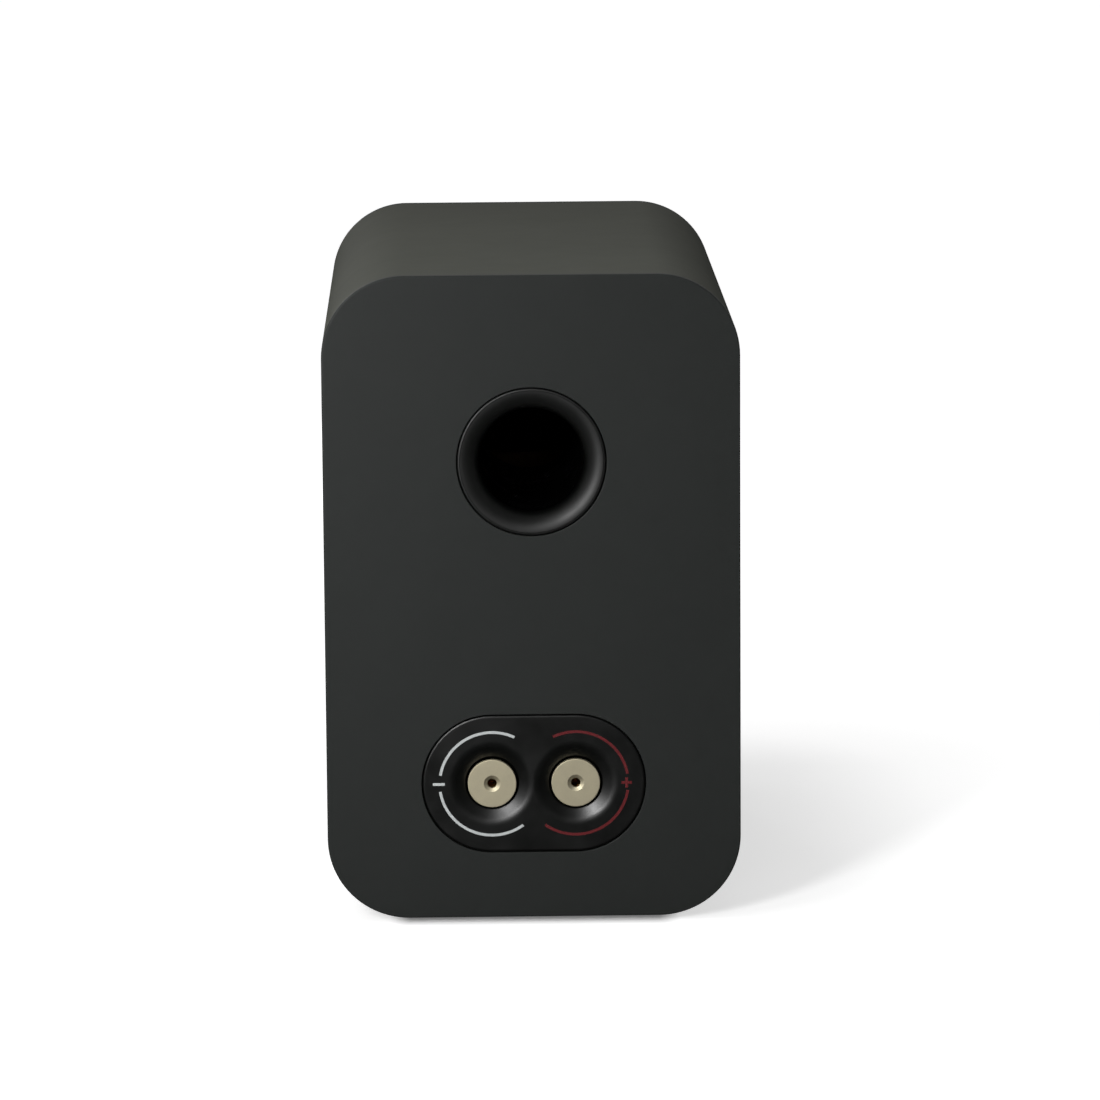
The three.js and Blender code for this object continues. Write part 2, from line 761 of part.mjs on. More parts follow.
/** The cast chassis: a screwed flange, a windowed cone, a ledge for the spider and a magnet seat. */
function wooferBasket() {
  const seatRadius = surroundRadius + boreClearance;
  const throatInside = basketThroat - basketWall;
  const shoulder = wooferFlangeThickness + basketWall;
  const ledgeRadius = footInside - ledgeWidth;
  const floorRadius = coilOutside + 2 * coilGap;
  const shell = revolve(
    [
      [seatRadius, 0],
      [seatRadius, surroundSeatDepth],
      [throatInside, surroundSeatDepth],
      [throatInside, shoulder],
      [footInside, ledgeDepth],
      [ledgeRadius, ledgeDepth],
      [ledgeRadius, basketDepth - basketFloor],
      [floorRadius, basketDepth - basketFloor],
      [floorRadius, basketDepth],
      [basketFoot, basketDepth],
      [basketFoot, ledgeDepth],
      [basketThroat, shoulder],
      [basketThroat, wooferFlangeThickness],
      [wooferFlangeRadius, wooferFlangeThickness],
      [wooferFlangeRadius, 0],
    ],
    largeFacets,
  );
  const near = shoulder + basketWall;
  const far = ledgeDepth - basketWall;
  const middle = basketFoot + basketTaper / 2;
  const windows = placesOn(basketWindows, middle, 0).map(({ x, z, angle }) =>
    new THREE.BoxGeometry(2 * basketTaper, far - near, basketWindowWidth)
      .rotateY(-angle)
      .translate(x, (near + far) / 2, z),
  );
  return cut(shell, ...windows, ...flangeHoles(wooferScrewPlaces, wooferFlangeThickness));
}

/** Depth of the cone's front surface at a radius. It runs on one curve from the rim to the middle. */
function coneSurface(radius) {
  return coneRimDepth + coneDepth * (1 - (radius / coneRadius) ** coneCurve);
}

function wooferCone() {
  const front = sweep(5, (share) => [coneRadius * share, coneSurface(coneRadius * share)]);
  return skin(front, coneThickness, largeFacets);
}

/** The rubber half roll between the cone's rim and the chassis. */
function wooferSurround() {
  const innerFace = coneRimDepth - glueGap - surroundThickness;
  const outerFace = surroundSeatDepth - glueGap - surroundThickness;
  const roll = sweep(4, (share) => {
    const level = innerFace + (outerFace - innerFace) * share;
    const radius = rollInner + (surroundRollWidth * (1 - Math.cos(Math.PI * share))) / 2;
    return [radius, level - surroundRollHeight * Math.sin(Math.PI * share)];
  });
  const front = [[coneRadius - surroundLip / 2, innerFace], ...roll, [surroundRadius, outerFace]];
  return skin(front, surroundThickness, largeFacets);
}

/** The corrugated cloth disc that centres the voice coil. */
function wooferSpider() {
  const inner = coilRadius + formerThickness + boreClearance;
  const outer = footInside - 4 * boreClearance;
  const level = ledgeDepth - glueGap - spiderThickness;
  const waveStart = inner + 2;
  const waveEnd = footInside - ledgeWidth;
  const steps = 2 * spiderWaves;
  const waves = Array.from({ length: steps + 1 }, (_, i) => {
    const swing = i === 0 || i === steps ? 0 : 2 * (i % 2) - 1;
    return [waveStart + ((waveEnd - waveStart) * i) / steps, level - swing * spiderWaveHeight];
  });
  return skin([[inner, level], ...waves, [outer, level]], spiderThickness, mediumFacets);
}

/** The former, from the cone's back, and the winding that straddles the top plate. */
function wooferVoiceCoil() {
  const top = coneSurface(coilRadius) + coneThickness + boreClearance;
  const windingFront = topPlateFront - windingOverhang;
  const windingBack = topPlateBack + windingOverhang;
  const former = coilRadius + formerThickness;
  return revolve(
    [
      [coilRadius, top],
      [former, top],
      [former, windingFront],
      [coilOutside, windingFront],
      [coilOutside, windingBack],
      [coilRadius, windingBack],
    ],
    mediumFacets,
  );
}

function woofer() {
  const gasket = seatRing(
    wooferFlangeRadius,
    wooferSeatWidth,
    wooferGasketThickness,
    wooferScrewPlaces,
    largeFacets,
  );
  const trim = trimRing(rollOuter + surroundLip / 2, wooferTrimRadius, wooferTrimProud, largeFacets);
  const topPlate = ring(coilOutside + coilGap, topPlateRadius, topPlateFront, topPlateBack, mediumFacets);
  const magnetRadius = topPlateRadius + magnetOverhang;
  const magnet = ring(coilOutside + magnetBoreGap, magnetRadius, magnetFront, magnetBack, mediumFacets);
  const wooferYoke = yoke(
    topPlateRadius,
    coilRadius - coilGap,
    poleWall,
    topPlateFront,
    magnetBack + glueGap,
    backPlateThickness,
  );
  return [
    piece("woofer_basket", wooferBasket(), blackSteel),
    piece("woofer_gasket", gasket, foam, 0, wooferFlangeThickness + glueGap),
    piece("woofer_trim_ring", trim, satinTrim),
    piece("woofer_cone", wooferCone(), conePaper),
    piece("woofer_surround", wooferSurround(), rubber),
    piece("woofer_spider", wooferSpider(), spiderCloth),
    piece("woofer_voice_coil", wooferVoiceCoil(), copper),
    piece("woofer_top_plate", topPlate, steel),
    piece("woofer_magnet", magnet, ferrite),
    piece("woofer_yoke", wooferYoke, steel),
    ...screws("woofer", wooferScrewPlaces),
  ];
}

// ---------------------------------------------------------------- tweeter, +Y inwards from the baffle
const domeRollInner = domeRadius + boreClearance;
const domeRollOuter = domeRollInner + domeRollWidth;
const domeEdge = domeRollOuter + domeLip;
const hornThroat = domeEdge + boreClearance;
const hornMouth = hornThroat + hornDepth;
const domeCoilOuter = domeRadius + boreClearance / 2;
const domeCoilInner = domeCoilOuter - domeFormerThickness;
const tweeterPlateFront = faceplateThickness + glueGap;
const tweeterPlateBack = tweeterPlateFront + tweeterPlateThickness;
const tweeterMagnetFront = tweeterPlateBack + glueGap;
const tweeterMagnetBack = tweeterMagnetFront + tweeterMagnetThickness;
const tweeterYokeFront = tweeterMagnetBack + glueGap;
const tweeterYokeBack = tweeterYokeFront + tweeterPlateThickness;
const domeRimDepth = faceplateThickness - 2 * glueGap;

/** The tweeter's screwed face, with a short horn down to the dome. */
function tweeterFaceplate() {
  const shell = revolve(
    [
      ...flare(hornMouth, hornThroat, faceplateThickness, mouthSteps),
      [faceplateRadius, faceplateThickness],
      [faceplateRadius, 0],
    ],
    mediumFacets,
  );
  return cut(shell, ...flangeHoles(tweeterScrewPlaces, faceplateThickness));
}

/** A thin cap of a sphere. */
function tweeterDome() {
  const sphere = (domeRadius ** 2 + domeHeight ** 2) / (2 * domeHeight);
  const centre = domeRimDepth - domeHeight + sphere;
  const halfAngle = Math.asin(domeRadius / sphere);
  const cap = (radius) =>
    sweep(4, (share) => {
      const angle = halfAngle * share;
      return [radius * Math.sin(angle), centre - radius * Math.cos(angle)];
    });
  return revolve([...cap(sphere), ...cap(sphere - domeThickness).reverse()], mediumFacets);
}

/** The soft roll round the dome, with its lip in front of the top plate. */
function tweeterSurround() {
  const level = faceplateThickness - glueGap - domeSurroundThickness;
  const roll = sweep(4, (share) => {
    const radius = domeRollInner + (domeRollWidth * (1 - Math.cos(Math.PI * share))) / 2;
    return [radius, level - domeRollHeight * Math.sin(Math.PI * share)];
  });
  return skin([...roll, [domeEdge, level]], domeSurroundThickness, mediumFacets);
}

/** A cup that closes the space behind the tweeter's vented pole. */
function rearChamber() {
  const outer = tweeterPlateRadius - chamberInset;
  const inner = outer - chamberWall;
  const front = tweeterYokeBack + glueGap;
  const back = front + chamberDepth;
  return revolve(
    [
      [0, back],
      [outer, back],
      [outer, front],
      [inner, front],
      [inner, back - chamberWall],
      [0, back - chamberWall],
    ],
    mediumFacets,
  );
}

function tweeter() {
  const isolation = seatRing(
    faceplateRadius,
    tweeterSeatWidth,
    isolationThickness,
    tweeterScrewPlaces,
    mediumFacets,
  );
  const trim = trimRing(hornMouth + tweeterTrimInset, tweeterTrimRadius, tweeterTrimProud, mediumFacets);
  const coilFront = faceplateThickness + boreClearance;
  const coil = ring(domeCoilInner, domeCoilOuter, coilFront, coilFront + domeCoilLength, mediumFacets);
  const topPlate = ring(
    domeCoilOuter + coilGap,
    tweeterPlateRadius,
    tweeterPlateFront,
    tweeterPlateBack,
    mediumFacets,
  );
  const magnet = ring(
    domeCoilOuter + tweeterMagnetBoreGap,
    tweeterPlateRadius + tweeterMagnetOverhang,
    tweeterMagnetFront,
    tweeterMagnetBack,
    mediumFacets,
  );
  const tweeterYoke = yoke(
    tweeterPlateRadius,
    domeCoilInner - coilGap,
    tweeterPoleWall,
    tweeterPlateFront + domeThickness,
    tweeterYokeFront,
    tweeterPlateThickness,
  );
  return [
    piece("tweeter_faceplate", tweeterFaceplate(), greyPlastic),
    piece("tweeter_isolation_ring", isolation, rubber, 0, faceplateThickness + glueGap),
    piece("tweeter_trim_ring", trim, satinTrim),
    piece("tweeter_dome", tweeterDome(), silk),
    piece("tweeter_surround", tweeterSurround(), silk),
    piece("tweeter_voice_coil", coil, copper),
    piece("tweeter_top_plate", topPlate, steel),
    piece("tweeter_magnet", magnet, ferrite),
    piece("tweeter_yoke", tweeterYoke, steel),
    piece("tweeter_rear_chamber", rearChamber(), blackPlastic),
    ...screws("tweeter", tweeterScrewPlaces),
  ];
}

// ---------------------------------------------------------------- crossover, on the cabinet's floor
const boardTop = wallThickness + glueGap + boardThickness;
const boardFront = chamberMiddle - boardLength / 2;
const boardRear = chamberMiddle + boardLength / 2;

/** A cylinder lying along X. */
function lyingCan(radius, length) {
  return rod(radius, -length / 2, length / 2, smallFacets).rotateZ(Math.PI / 2);
}

function crossover() {
  const left = -boardWidth / 4;
  const right = boardWidth / 4;
  const rest = boardTop + glueGap;
  const board = new THREE.BoxGeometry(boardWidth, boardLength, boardThickness);
  const uprightCoil = ring(
    inductorBore,
    inductorRadius,
    -inductorHeight / 2,
    inductorHeight / 2,
    mediumFacets,
  ).rotateX(Math.PI / 2);
  const lyingCoil = ring(
    smallInductorBore,
    smallInductorRadius,
    -smallInductorHeight / 2,
    smallInductorHeight / 2,
    smallFacets,
  ).rotateZ(Math.PI / 2);
  const resistor = new THREE.BoxGeometry(resistorLength, resistorSide, resistorSide);
  const coilY = boardFront + boardEdge + inductorRadius;
  const smallCoilY = boardFront + boardEdge + smallInductorRadius;
  const canY = boardRear - 2 * boardEdge - capacitorRadius;
  const resistorY = boardRear - boardEdge - resistorSide / 2;
  const smallCanY = resistorY - resistorSide / 2 - boardEdge - smallCapacitorRadius;
  const bigCan = lyingCan(capacitorRadius, capacitorLength);
  const smallCan = lyingCan(smallCapacitorRadius, smallCapacitorLength);
  return [
    piece("crossover_board", board, circuitBoard, 0, chamberMiddle, boardTop - boardThickness / 2),
    piece("woofer_inductor", uprightCoil, copper, left, coilY, rest + inductorHeight / 2),
    piece("tweeter_inductor", lyingCoil, copper, right, smallCoilY, rest + smallInductorRadius),
    piece("woofer_capacitor", bigCan, capacitorFilm, left, canY, rest + capacitorRadius),
    piece("tweeter_capacitor", smallCan, capacitorFilm, right, smallCanY, rest + smallCapacitorRadius),
    piece("tweeter_resistor", resistor, cement, right, resistorY, rest + resistorSide / 2),
  ];
}

// ---------------------------------------------------------------- leads inside the cabinet
/** Two cores side by side along [x, y, z] points, parting towards x at the far end by the given spread. */
function twinLead(points, spread, steps) {
  const last = points.length - 1;
  const core = (side) => {
    const path = points.map(([x, y, z], i) => {
      const offset = i === last ? spread : i === last - 1 ? spread / 2 : coreRadius * 0.8;
      return new THREE.Vector3(x + side * offset, y, z);
    });
    return new THREE.ExtrudeGeometry(new THREE.Shape(circle(coreRadius, 5)), {
      steps,
      extrudePath: new THREE.CatmullRomCurve3(path),
    });
  };
  return join(core(-1), core(1));
}

function leads() {
  const rest = boardTop + 2 * coreRadius;
  const boardX = boardWidth / 2 - 2 * boardEdge;
  const doorX = cabinetWidth / 2 - wallThickness - braceRail - 6 * coreRadius; // clear of the brace's frame
  const braceMiddle = (braceFront + braceBack) / 2;
  const sill = wallThickness + braceRail; // top of the brace's bottom rail
  const tagY = rearFace - tagBack;
  const magnetX = topPlateRadius + magnetOverhang + 6 * coreRadius;
  const wooferEnd = baffleFace + ledgeDepth + basketFootHeight / 2;
  const chamberX = tweeterPlateRadius + 2 * coreRadius;
  const chamberY = baffleFace + tweeterYokeBack + chamberDepth;
  const toTags = [
    [0, boardRear - 2 * boardEdge, rest],
    [0, boardRear + 3 * coreRadius, rest + 4 * coreRadius],
    [0, tagY - 8 * coreRadius, trayHeight - 1.6 * tagLength],
    [0, tagY - 4 * coreRadius, trayHeight - 1.2 * tagLength],
    [0, tagY - 2 * coreRadius, trayHeight - 0.8 * tagLength],
  ];
  const toWoofer = [
    [-boardX, boardFront + boardEdge, rest],
    [-doorX, boardFront - 8 * coreRadius, sill - 2 * coreRadius],
    [-doorX, braceMiddle, sill + 8 * coreRadius],
    [-magnetX, (braceFront + wooferEnd) / 2, wooferHeight - 2 * braceRail],
    [-magnetX, wooferEnd + magnetThickness, wooferHeight],
    [-basketFoot - 5 * coreRadius, wooferEnd, wooferHeight],
  ];
  const toTweeter = [
    [boardX, boardFront + boardEdge, rest],
    [doorX, boardFront - 8 * coreRadius, sill - 2 * coreRadius],
    [doorX, braceMiddle, sill + 8 * coreRadius],
    [doorX, braceFront - 12 * coreRadius, wooferHeight],
    [doorX, braceFront - 18 * coreRadius, tweeterHeight - 2 * braceRail],
    [chamberX + 4 * coreRadius, chamberY + 8 * coreRadius, tweeterHeight - 4 * coreRadius],
    [chamberX, chamberY - chamberDepth / 4, tweeterHeight],
  ];
  return [
    piece("input_cable", twinLead(toTags, postSpacing / 2, 9), cableSheath),
    piece("woofer_cable", twinLead(toWoofer, 2 * coreRadius, 12), cableSheath),
    piece("tweeter_cable", twinLead(toTweeter, 2 * coreRadius, 14), cableSheath),
  ];
}

// ---------------------------------------------------------------- the whole
const front = new THREE.Group(); // its +Y runs inwards from the baffle's face
front.position.y = baffleFace;
front.add(
  piece("front_baffle", frontBaffle(), panelFoil),
  atHeight(wooferHeight, ...woofer()),
  atHeight(tweeterHeight, ...tweeter()),
);

const rear = new THREE.Group(); // turned, so that its +Y runs inwards from the rear panel's face
rear.position.y = rearFace;
rear.rotation.z = Math.PI;
rear.add(
  piece("rear_panel", rearPanel(), panelFoil),
  atHeight(portHeight, piece("reflex_port", reflexPort(), blackPlastic)),
  atHeight(trayHeight, ...terminals()),
);

const loudspeaker = new THREE.Group(); // its own origin is at the cabinet's underside
loudspeaker.position.z = footHeight;
loudspeaker.add(
  piece("cabinet_wrap", cabinetWrap(), wrapFoil),
  piece("window_brace", windowBrace(), rawBoard, 0, braceFront),
  front,
  rear,
  ...feet(),
  dampingFoam(),
  ...crossover(),
  ...leads(),
);

const part = new THREE.Group();
part.add(loudspeaker);

export default part;
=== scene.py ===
"""The looks of a two-way bookshelf loudspeaker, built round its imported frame.

Metres, in the frame's own axes: +Y runs to the rear panel with its port and terminals, +Z is up, and the
woofer and tweeter face -Y. Every piece is a surface worked out on a grid of points, placed by the box of the
CAD node that it stands for, and every finish is a tree of nodes.
"""

import json
import math

import bmesh
import bpy
import numpy as np
from mathutils import Matrix, Vector


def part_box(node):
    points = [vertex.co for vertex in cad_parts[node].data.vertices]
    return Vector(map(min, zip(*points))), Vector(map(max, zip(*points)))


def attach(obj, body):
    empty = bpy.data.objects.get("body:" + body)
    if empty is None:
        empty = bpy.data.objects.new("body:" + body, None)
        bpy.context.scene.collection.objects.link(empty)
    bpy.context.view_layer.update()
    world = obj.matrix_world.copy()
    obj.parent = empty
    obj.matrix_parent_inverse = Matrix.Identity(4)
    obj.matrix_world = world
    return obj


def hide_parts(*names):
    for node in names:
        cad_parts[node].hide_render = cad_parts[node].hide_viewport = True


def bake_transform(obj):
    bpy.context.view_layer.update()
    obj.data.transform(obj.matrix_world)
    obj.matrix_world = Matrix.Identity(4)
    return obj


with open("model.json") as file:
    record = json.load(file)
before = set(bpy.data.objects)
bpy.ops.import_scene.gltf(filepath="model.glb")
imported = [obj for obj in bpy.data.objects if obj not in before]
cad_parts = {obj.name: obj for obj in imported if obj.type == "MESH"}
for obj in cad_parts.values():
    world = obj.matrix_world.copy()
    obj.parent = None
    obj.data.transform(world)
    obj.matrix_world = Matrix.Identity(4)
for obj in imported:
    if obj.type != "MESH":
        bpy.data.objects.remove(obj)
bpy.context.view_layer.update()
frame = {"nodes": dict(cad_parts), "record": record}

mm = 0.001
turn = 2 * math.pi
quarter = turn / 4

# ---------------------------------------------------------------- places and sizes that the frame gives


def low(node):
    """The lowest corner of a node's box."""
    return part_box(node)[0]


def high(node):
    """The highest corner of a node's box."""
    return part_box(node)[1]


def middle(node):
    """The middle of a node's box."""
    return (low(node) + high(node)) / 2


def reach(node):
    """Half a node's width across X: the radius of a round one."""
    return (high(node).x - low(node).x) / 2


def front_to_back(node):
    """A node's size along Y."""
    return high(node).y - low(node).y


half_width = reach("cabinet_wrap")
underside = low("cabinet_wrap").z
top = high("cabinet_wrap").z
rear_face = high("rear_panel").y
baffle_face = low("front_baffle").y
from_rear = (rear_face, -1)  # a face, and the way along Y that leads into the cabinet from it
from_front = (baffle_face, 1)
port_axis = middle("reflex_port")
tray_middle = middle("terminal_tray")
tray_end = (high("terminal_tray").z - low("terminal_tray").z) / 2
post_offset = reach("terminal_tray") - tray_end
woofer_axis = middle("woofer_trim_ring")
tweeter_axis = middle("tweeter_trim_ring")
driver_axes = {"woofer": woofer_axis, "tweeter": tweeter_axis}

# ---------------------------------------------------------------- sizes that the boxes don't give

glue_gap = 0.2 * mm
rebate_gap = 0.45 * mm
hole_gap = 0.3 * mm
corner_radius = 35.5 * mm
wall = 15 * mm
rear_lip = 3 * mm
baffle_lip = 4 * mm
eased_edge = 0.7 * mm  # on the long edges of the cabinet's panels

port_rim = 0.9 * mm
port_throat = 22.5 * mm
port_flare_depth = 8.4 * mm
port_painted_shade_start = 2.5 * mm  # where the painted shade down the flare begins: above it the colour is full
port_flange = 3 * mm
port_wall = 2.5 * mm
port_inner_flare = 3 * mm
port_inner_depth = 12 * mm

dish_mouth = 17 * mm
dish_well = 11.5 * mm
dish_slope = 2.5 * mm
bowl_edge = 20 * mm
bowl_rounding = 1.8 * mm
dish_rounding = 0.5 * mm
dish_depth = 18 * mm
tray_flange = 3 * mm
tray_wall = 2.5 * mm
tray_seat = 4.2 * mm  # how deep the rear panel is rebated for the tray
stud_hole = 3.3 * mm
tray_edge_ease = 0.9 * mm
seal_width = 8 * mm  # of the band under the tray's flange

cap_thickness = 2.2 * mm
cap_hole = 2.05 * mm
cap_countersink = 3.6 * mm
cap_countersink_depth = 0.75 * mm
sleeve_outside = 5.5 * mm
flutes = 20
flute_depth = 0.7 * mm
thread_radius = 3 * mm
thread_pitch = 1 * mm
thread_depth = 0.35 * mm
banana_bore = 2 * mm
banana_bore_depth = 18 * mm
collar_thickness = 2 * mm

arc_radius = 22.8 * mm
arc_stroke = 1.2 * mm
arc_spans = {"upper": (9.8, 115.5), "lower": (-8.3, -126)}  # degrees up from the outer side
minus_place = 41.4 * mm
minus_length = 5.2 * mm
plus_place = -40.3 * mm
plus_length = 4.5 * mm
ink_thickness = 0.05 * mm
tray_face = rear_face - ink_thickness

woofer_rebate = 71.45 * mm
woofer_cutout = 59 * mm
woofer_seat = 6.9 * mm
cone_rim_depth = 3 * mm
cone_depth = 20 * mm
cone_curve = 2.4
cone_thickness = 1.2 * mm
roll_gap = 0.3 * mm
roll_width = 7.6 * mm
roll_height = 2.5 * mm
roll_seat = 0.3 * mm
surround_lip = 4 * mm
surround_thickness = 0.9 * mm
spider_inside = 13.7 * mm
spider_wave = 1.1 * mm
spider_thickness = 0.5 * mm

tweeter_rebate = 42.45 * mm
tweeter_cutout = 34.5 * mm
tweeter_seat = 5.9 * mm
horn_throat = 17.4 * mm
horn_mouth = 25 * mm
faceplate_thickness = 4 * mm
dome_height = 5 * mm
dome_thickness = 0.7 * mm
dome_roll_width = 2.9 * mm
dome_roll_height = 1.4 * mm
dome_surround_thickness = 0.6 * mm
dome_gap = 0.03 * mm  # so small that nothing shows through it

side_steps = 24  # points along the runs and arcs of the outlines
end_steps = 36
split_steps = 48
bowl_steps = 64

# ---------------------------------------------------------------- outlines and profiles


def run(start, end, count):
    """count points of a straight run, from start up to but without end."""
    share = np.linspace(0, 1, count, endpoint=False)[:, None]
    return np.array(start) * (1 - share) + np.array(end) * share


def arc(centre, radius, start, end, count):
    """count points of a circle's arc between two angles, without its last point."""
    angle = np.linspace(start, end, count, endpoint=False)
    return np.array(centre) + radius * np.stack([np.cos(angle), np.sin(angle)], axis=1)


def eased(corners, cuts, steps=5, closed=False):
    """A line of corners, each swapped for a parabola that leaves its two sides at its cut from the corner.

    The parabola is (1 - t)^2 of the first tangent point, 2t(1 - t) of the corner and t^2 of the second. One
    more point lies on each side just beyond it, so that shading doesn't creep over the flat beside it.
    """
    here = np.array(corners, float)
    cut = np.broadcast_to(np.array(cuts, float), len(here))[:, None, None]
    to_last = np.roll(here, 1, axis=0) - here
    to_next = np.roll(here, -1, axis=0) - here
    to_last /= np.linalg.norm(to_last, axis=1, keepdims=True)
    to_next /= np.linalg.norm(to_next, axis=1, keepdims=True)
    share = np.linspace(0, 1, steps + 1)[None, :, None]
    offset = (1 - share) ** 2 * to_last[:, None] + share**2 * to_next[:, None]
    before = 1.5 * to_last[:, None]
    after = 1.5 * to_next[:, None]
    points = (here[:, None] + cut * np.concatenate([before, offset, after], axis=1)).reshape(-1, 2)
    step = np.linalg.norm(np.diff(points, axis=0, prepend=points[-1:] if closed else points[:1] - 1), axis=1)
    return points[step > 1e-8]


def ring_section(inner, outer, near, far, cuts):
    """A ring's closed [radius, depth] section, with eased corners from its inner near one round."""
    return eased([(inner, near), (outer, near), (outer, far), (inner, far)], cuts, closed=True)


def flare(mouth, throat, depth, count):
    """[radius, depth] down a quarter ellipse, flush with the face at the mouth and straight at the throat."""
    angle = np.linspace(0, quarter, count)
    radius = mouth - (mouth - throat) * np.sin(angle)
    return np.stack([radius, depth * (1 - np.cos(angle))], axis=1)


def flare_radius(depth, mouth, throat, flare_depth):
    """The radius of that quarter ellipse at a depth."""
    return throat + (mouth - throat) * (1 - math.sqrt(1 - (1 - depth / flare_depth) ** 2))


def square_to(line):
    """The unit direction to the left of a line at each of its points."""
    along = np.gradient(line, axis=0)
    along /= np.linalg.norm(along, axis=1, keepdims=True)
    return np.stack([-along[:, 1], along[:, 0]], axis=1)


def thickened(line, thickness):
    """A closed profile: an open line, and back along its copy at a distance square to it."""
    return np.concatenate([line, (line + square_to(line) * thickness)[::-1]])


def halves(inset, split):
    """The cabinet's outline, drawn in by inset and cut across at z = split, as [x, z] points.

    Two open runs: over the top from +X to -X, and back under the bottom from -X to +X.
    """
    radius = corner_radius - inset
    runs = []
    for way, end, angle in ((1, top - inset, 0), (-1, underside + inset, 2 * quarter)):
        side = way * (half_width - inset)
        x = side - way * radius
        z = end - way * radius
        points = [
            run((side, split), (side, z), side_steps),
            arc((x, z), radius, angle, angle + quarter, side_steps),
            run((x, end), (-x, end), end_steps),
            arc((-x, z), radius, angle + quarter, angle + 2 * quarter, side_steps),
            run((-side, z), (-side, split), side_steps),
        ]
        runs.append(np.concatenate(points))
    return runs


def stadium_ray(directions, half, radius):
    """How far a stadium's edge is from its middle along each [x, z] direction.

    On the straight sides that is radius / |z|, and on an end it is where the ray leaves the end's circle. A
    stadium whose half spacing is 0 is a circle.
    """
    across, up = np.abs(directions / np.linalg.norm(directions, axis=1, keepdims=True)).T
    side = radius / np.maximum(up, 1e-9)
    end = half * across + np.sqrt(np.maximum(radius**2 - (half * up) ** 2, 0))
    return np.where(side * across <= half, side, end)


def ring_towards(boundary, centre, half, radius):
    """The points of a stadium round centre that lie towards the points of a boundary round it."""
    directions = boundary - centre
    lengths = np.linalg.norm(directions, axis=1)
    return centre + directions * (stadium_ray(directions, half, radius) / lengths)[:, None]


# ---------------------------------------------------------------- grids of points


def at_depth(outline, y):
    """[x, z] points as [x, y, z] points at one y."""
    return np.insert(outline, 1, y, axis=1)


def round_once(columns):
    """Evenly spaced angles, once round from 0."""
    return np.linspace(0, turn, columns, endpoint=False)


def turned(profile, centre, angle, face=0, inward=1):
    """A grid: a profile of [radius, depth] turned through angles about an axis along Y through centre.

    A point is [radius cos a, face + inward depth, radius sin a] from the axis.
    """
    radius, depth = np.array(profile, float).T[:, :, None]
    y = face + inward * depth
    x = centre.x + radius * np.cos(angle)
    z = centre.z + radius * np.sin(angle)
    return np.stack(np.broadcast_arrays(x, y, z), axis=-1)


def drawn_in(grid, centre, share):
    """A turned grid with each point's radius cut down by its share."""
    axis = np.array([centre.x, 0, centre.z])
    away = grid - axis
    return axis + np.stack([away[..., 0] * (1 - share), away[..., 1], away[..., 2] * (1 - share)], axis=-1)


def carried(profile, outline, face, inward):
    """A grid: a profile of [inset, depth] carried round an outline that is a function of the inset."""
    return np.stack([at_depth(outline(inset), face + inward * depth) for inset, depth in profile])


def pierced(front, back, centre, half, hole, face, inward, thickness):
    """A grid over a plate's face, down its hole and over its back, between two boundaries with equal counts.

    hole is the [radius, depth] profile of the hole, from the face to the back, and each of its rows is a ring
    of points that lie towards the front boundary's.
    """
    rings = [at_depth(ring_towards(front, centre, half, r), face + inward * d) for r, d in hole]
    ends = [at_depth(front, face), at_depth(back, face + inward * thickness)]
    return np.stack([ends[0], *rings, ends[1]])


def quads(rows, columns, loop_rows, loop_columns):
    """The corner numbers of the faces between the neighbouring points of a grid."""
    row = np.arange(rows if loop_rows else rows - 1)[:, None]
    column = np.arange(columns if loop_columns else columns - 1)[None, :]
    below = (row + 1) % rows
    beside = (column + 1) % columns
    around = [
        row * columns + column,
        below * columns + column,
        below * columns + beside,
        row * columns + beside,
    ]
    return np.stack(np.broadcast_arrays(*around), axis=-1).reshape(-1, 4)


def mesh_of(name, *grids, sharp=34):
    """One closed mesh from (points, loop_rows, loop_columns) grids, which are merged where they meet."""
    counts = [points.shape[0] * points.shape[1] for points, _, _ in grids]
    starts = np.cumsum([0, *counts[:-1]])
    points = np.concatenate([grid.reshape(-1, 3) for grid, _, _ in grids])
    faces = np.concatenate(
        [quads(*grid.shape[:2], rows, columns) + start for (grid, rows, columns), start in zip(grids, starts)]
    )
    mesh = bpy.data.meshes.new(name)
    mesh.from_pydata(points, [], faces)
    shell = bmesh.new()
    shell.from_mesh(mesh)
    bmesh.ops.remove_doubles(shell, verts=shell.verts, dist=1e-6)
    bmesh.ops.recalc_face_normals(shell, faces=shell.faces)
    shell.to_mesh(mesh)
    shell.free()
    mesh.shade_smooth()
    mesh.set_sharp_from_angle(angle=math.radians(sharp))
    return mesh


def from_axis(mesh, centre):
    """Stores where each point lies from the piece's own axis, for finishes that follow the turning."""
    places = np.empty(3 * len(mesh.vertices), np.float32)
    mesh.vertices.foreach_get("co", places)
    places = places.reshape(-1, 3) - np.array(centre, np.float32)
    mesh.attributes.new("from_axis", "FLOAT_VECTOR", "POINT").data.foreach_set("vector", places.ravel())


def new_object(name, data):
    """An object in the scene, with a mesh, a lamp or a camera for its data."""
    made = bpy.data.objects.new(name, data)
    bpy.context.scene.collection.objects.link(made)
    return made


def piece(name, mesh, finish, body="cabinet", stands_for=(), centre=None):
    """A shown piece of the loudspeaker, with its finish, riding on a body in place of CAD nodes.

    body is None for a piece that this script puts on no body.
    """
    if centre is not None:
        from_axis(mesh, centre)
    made = new_object(name, mesh)
    mesh.materials.append(finishes[finish])
    if body:
        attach(made, body)
    if stands_for:
        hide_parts(*stands_for)
    return made


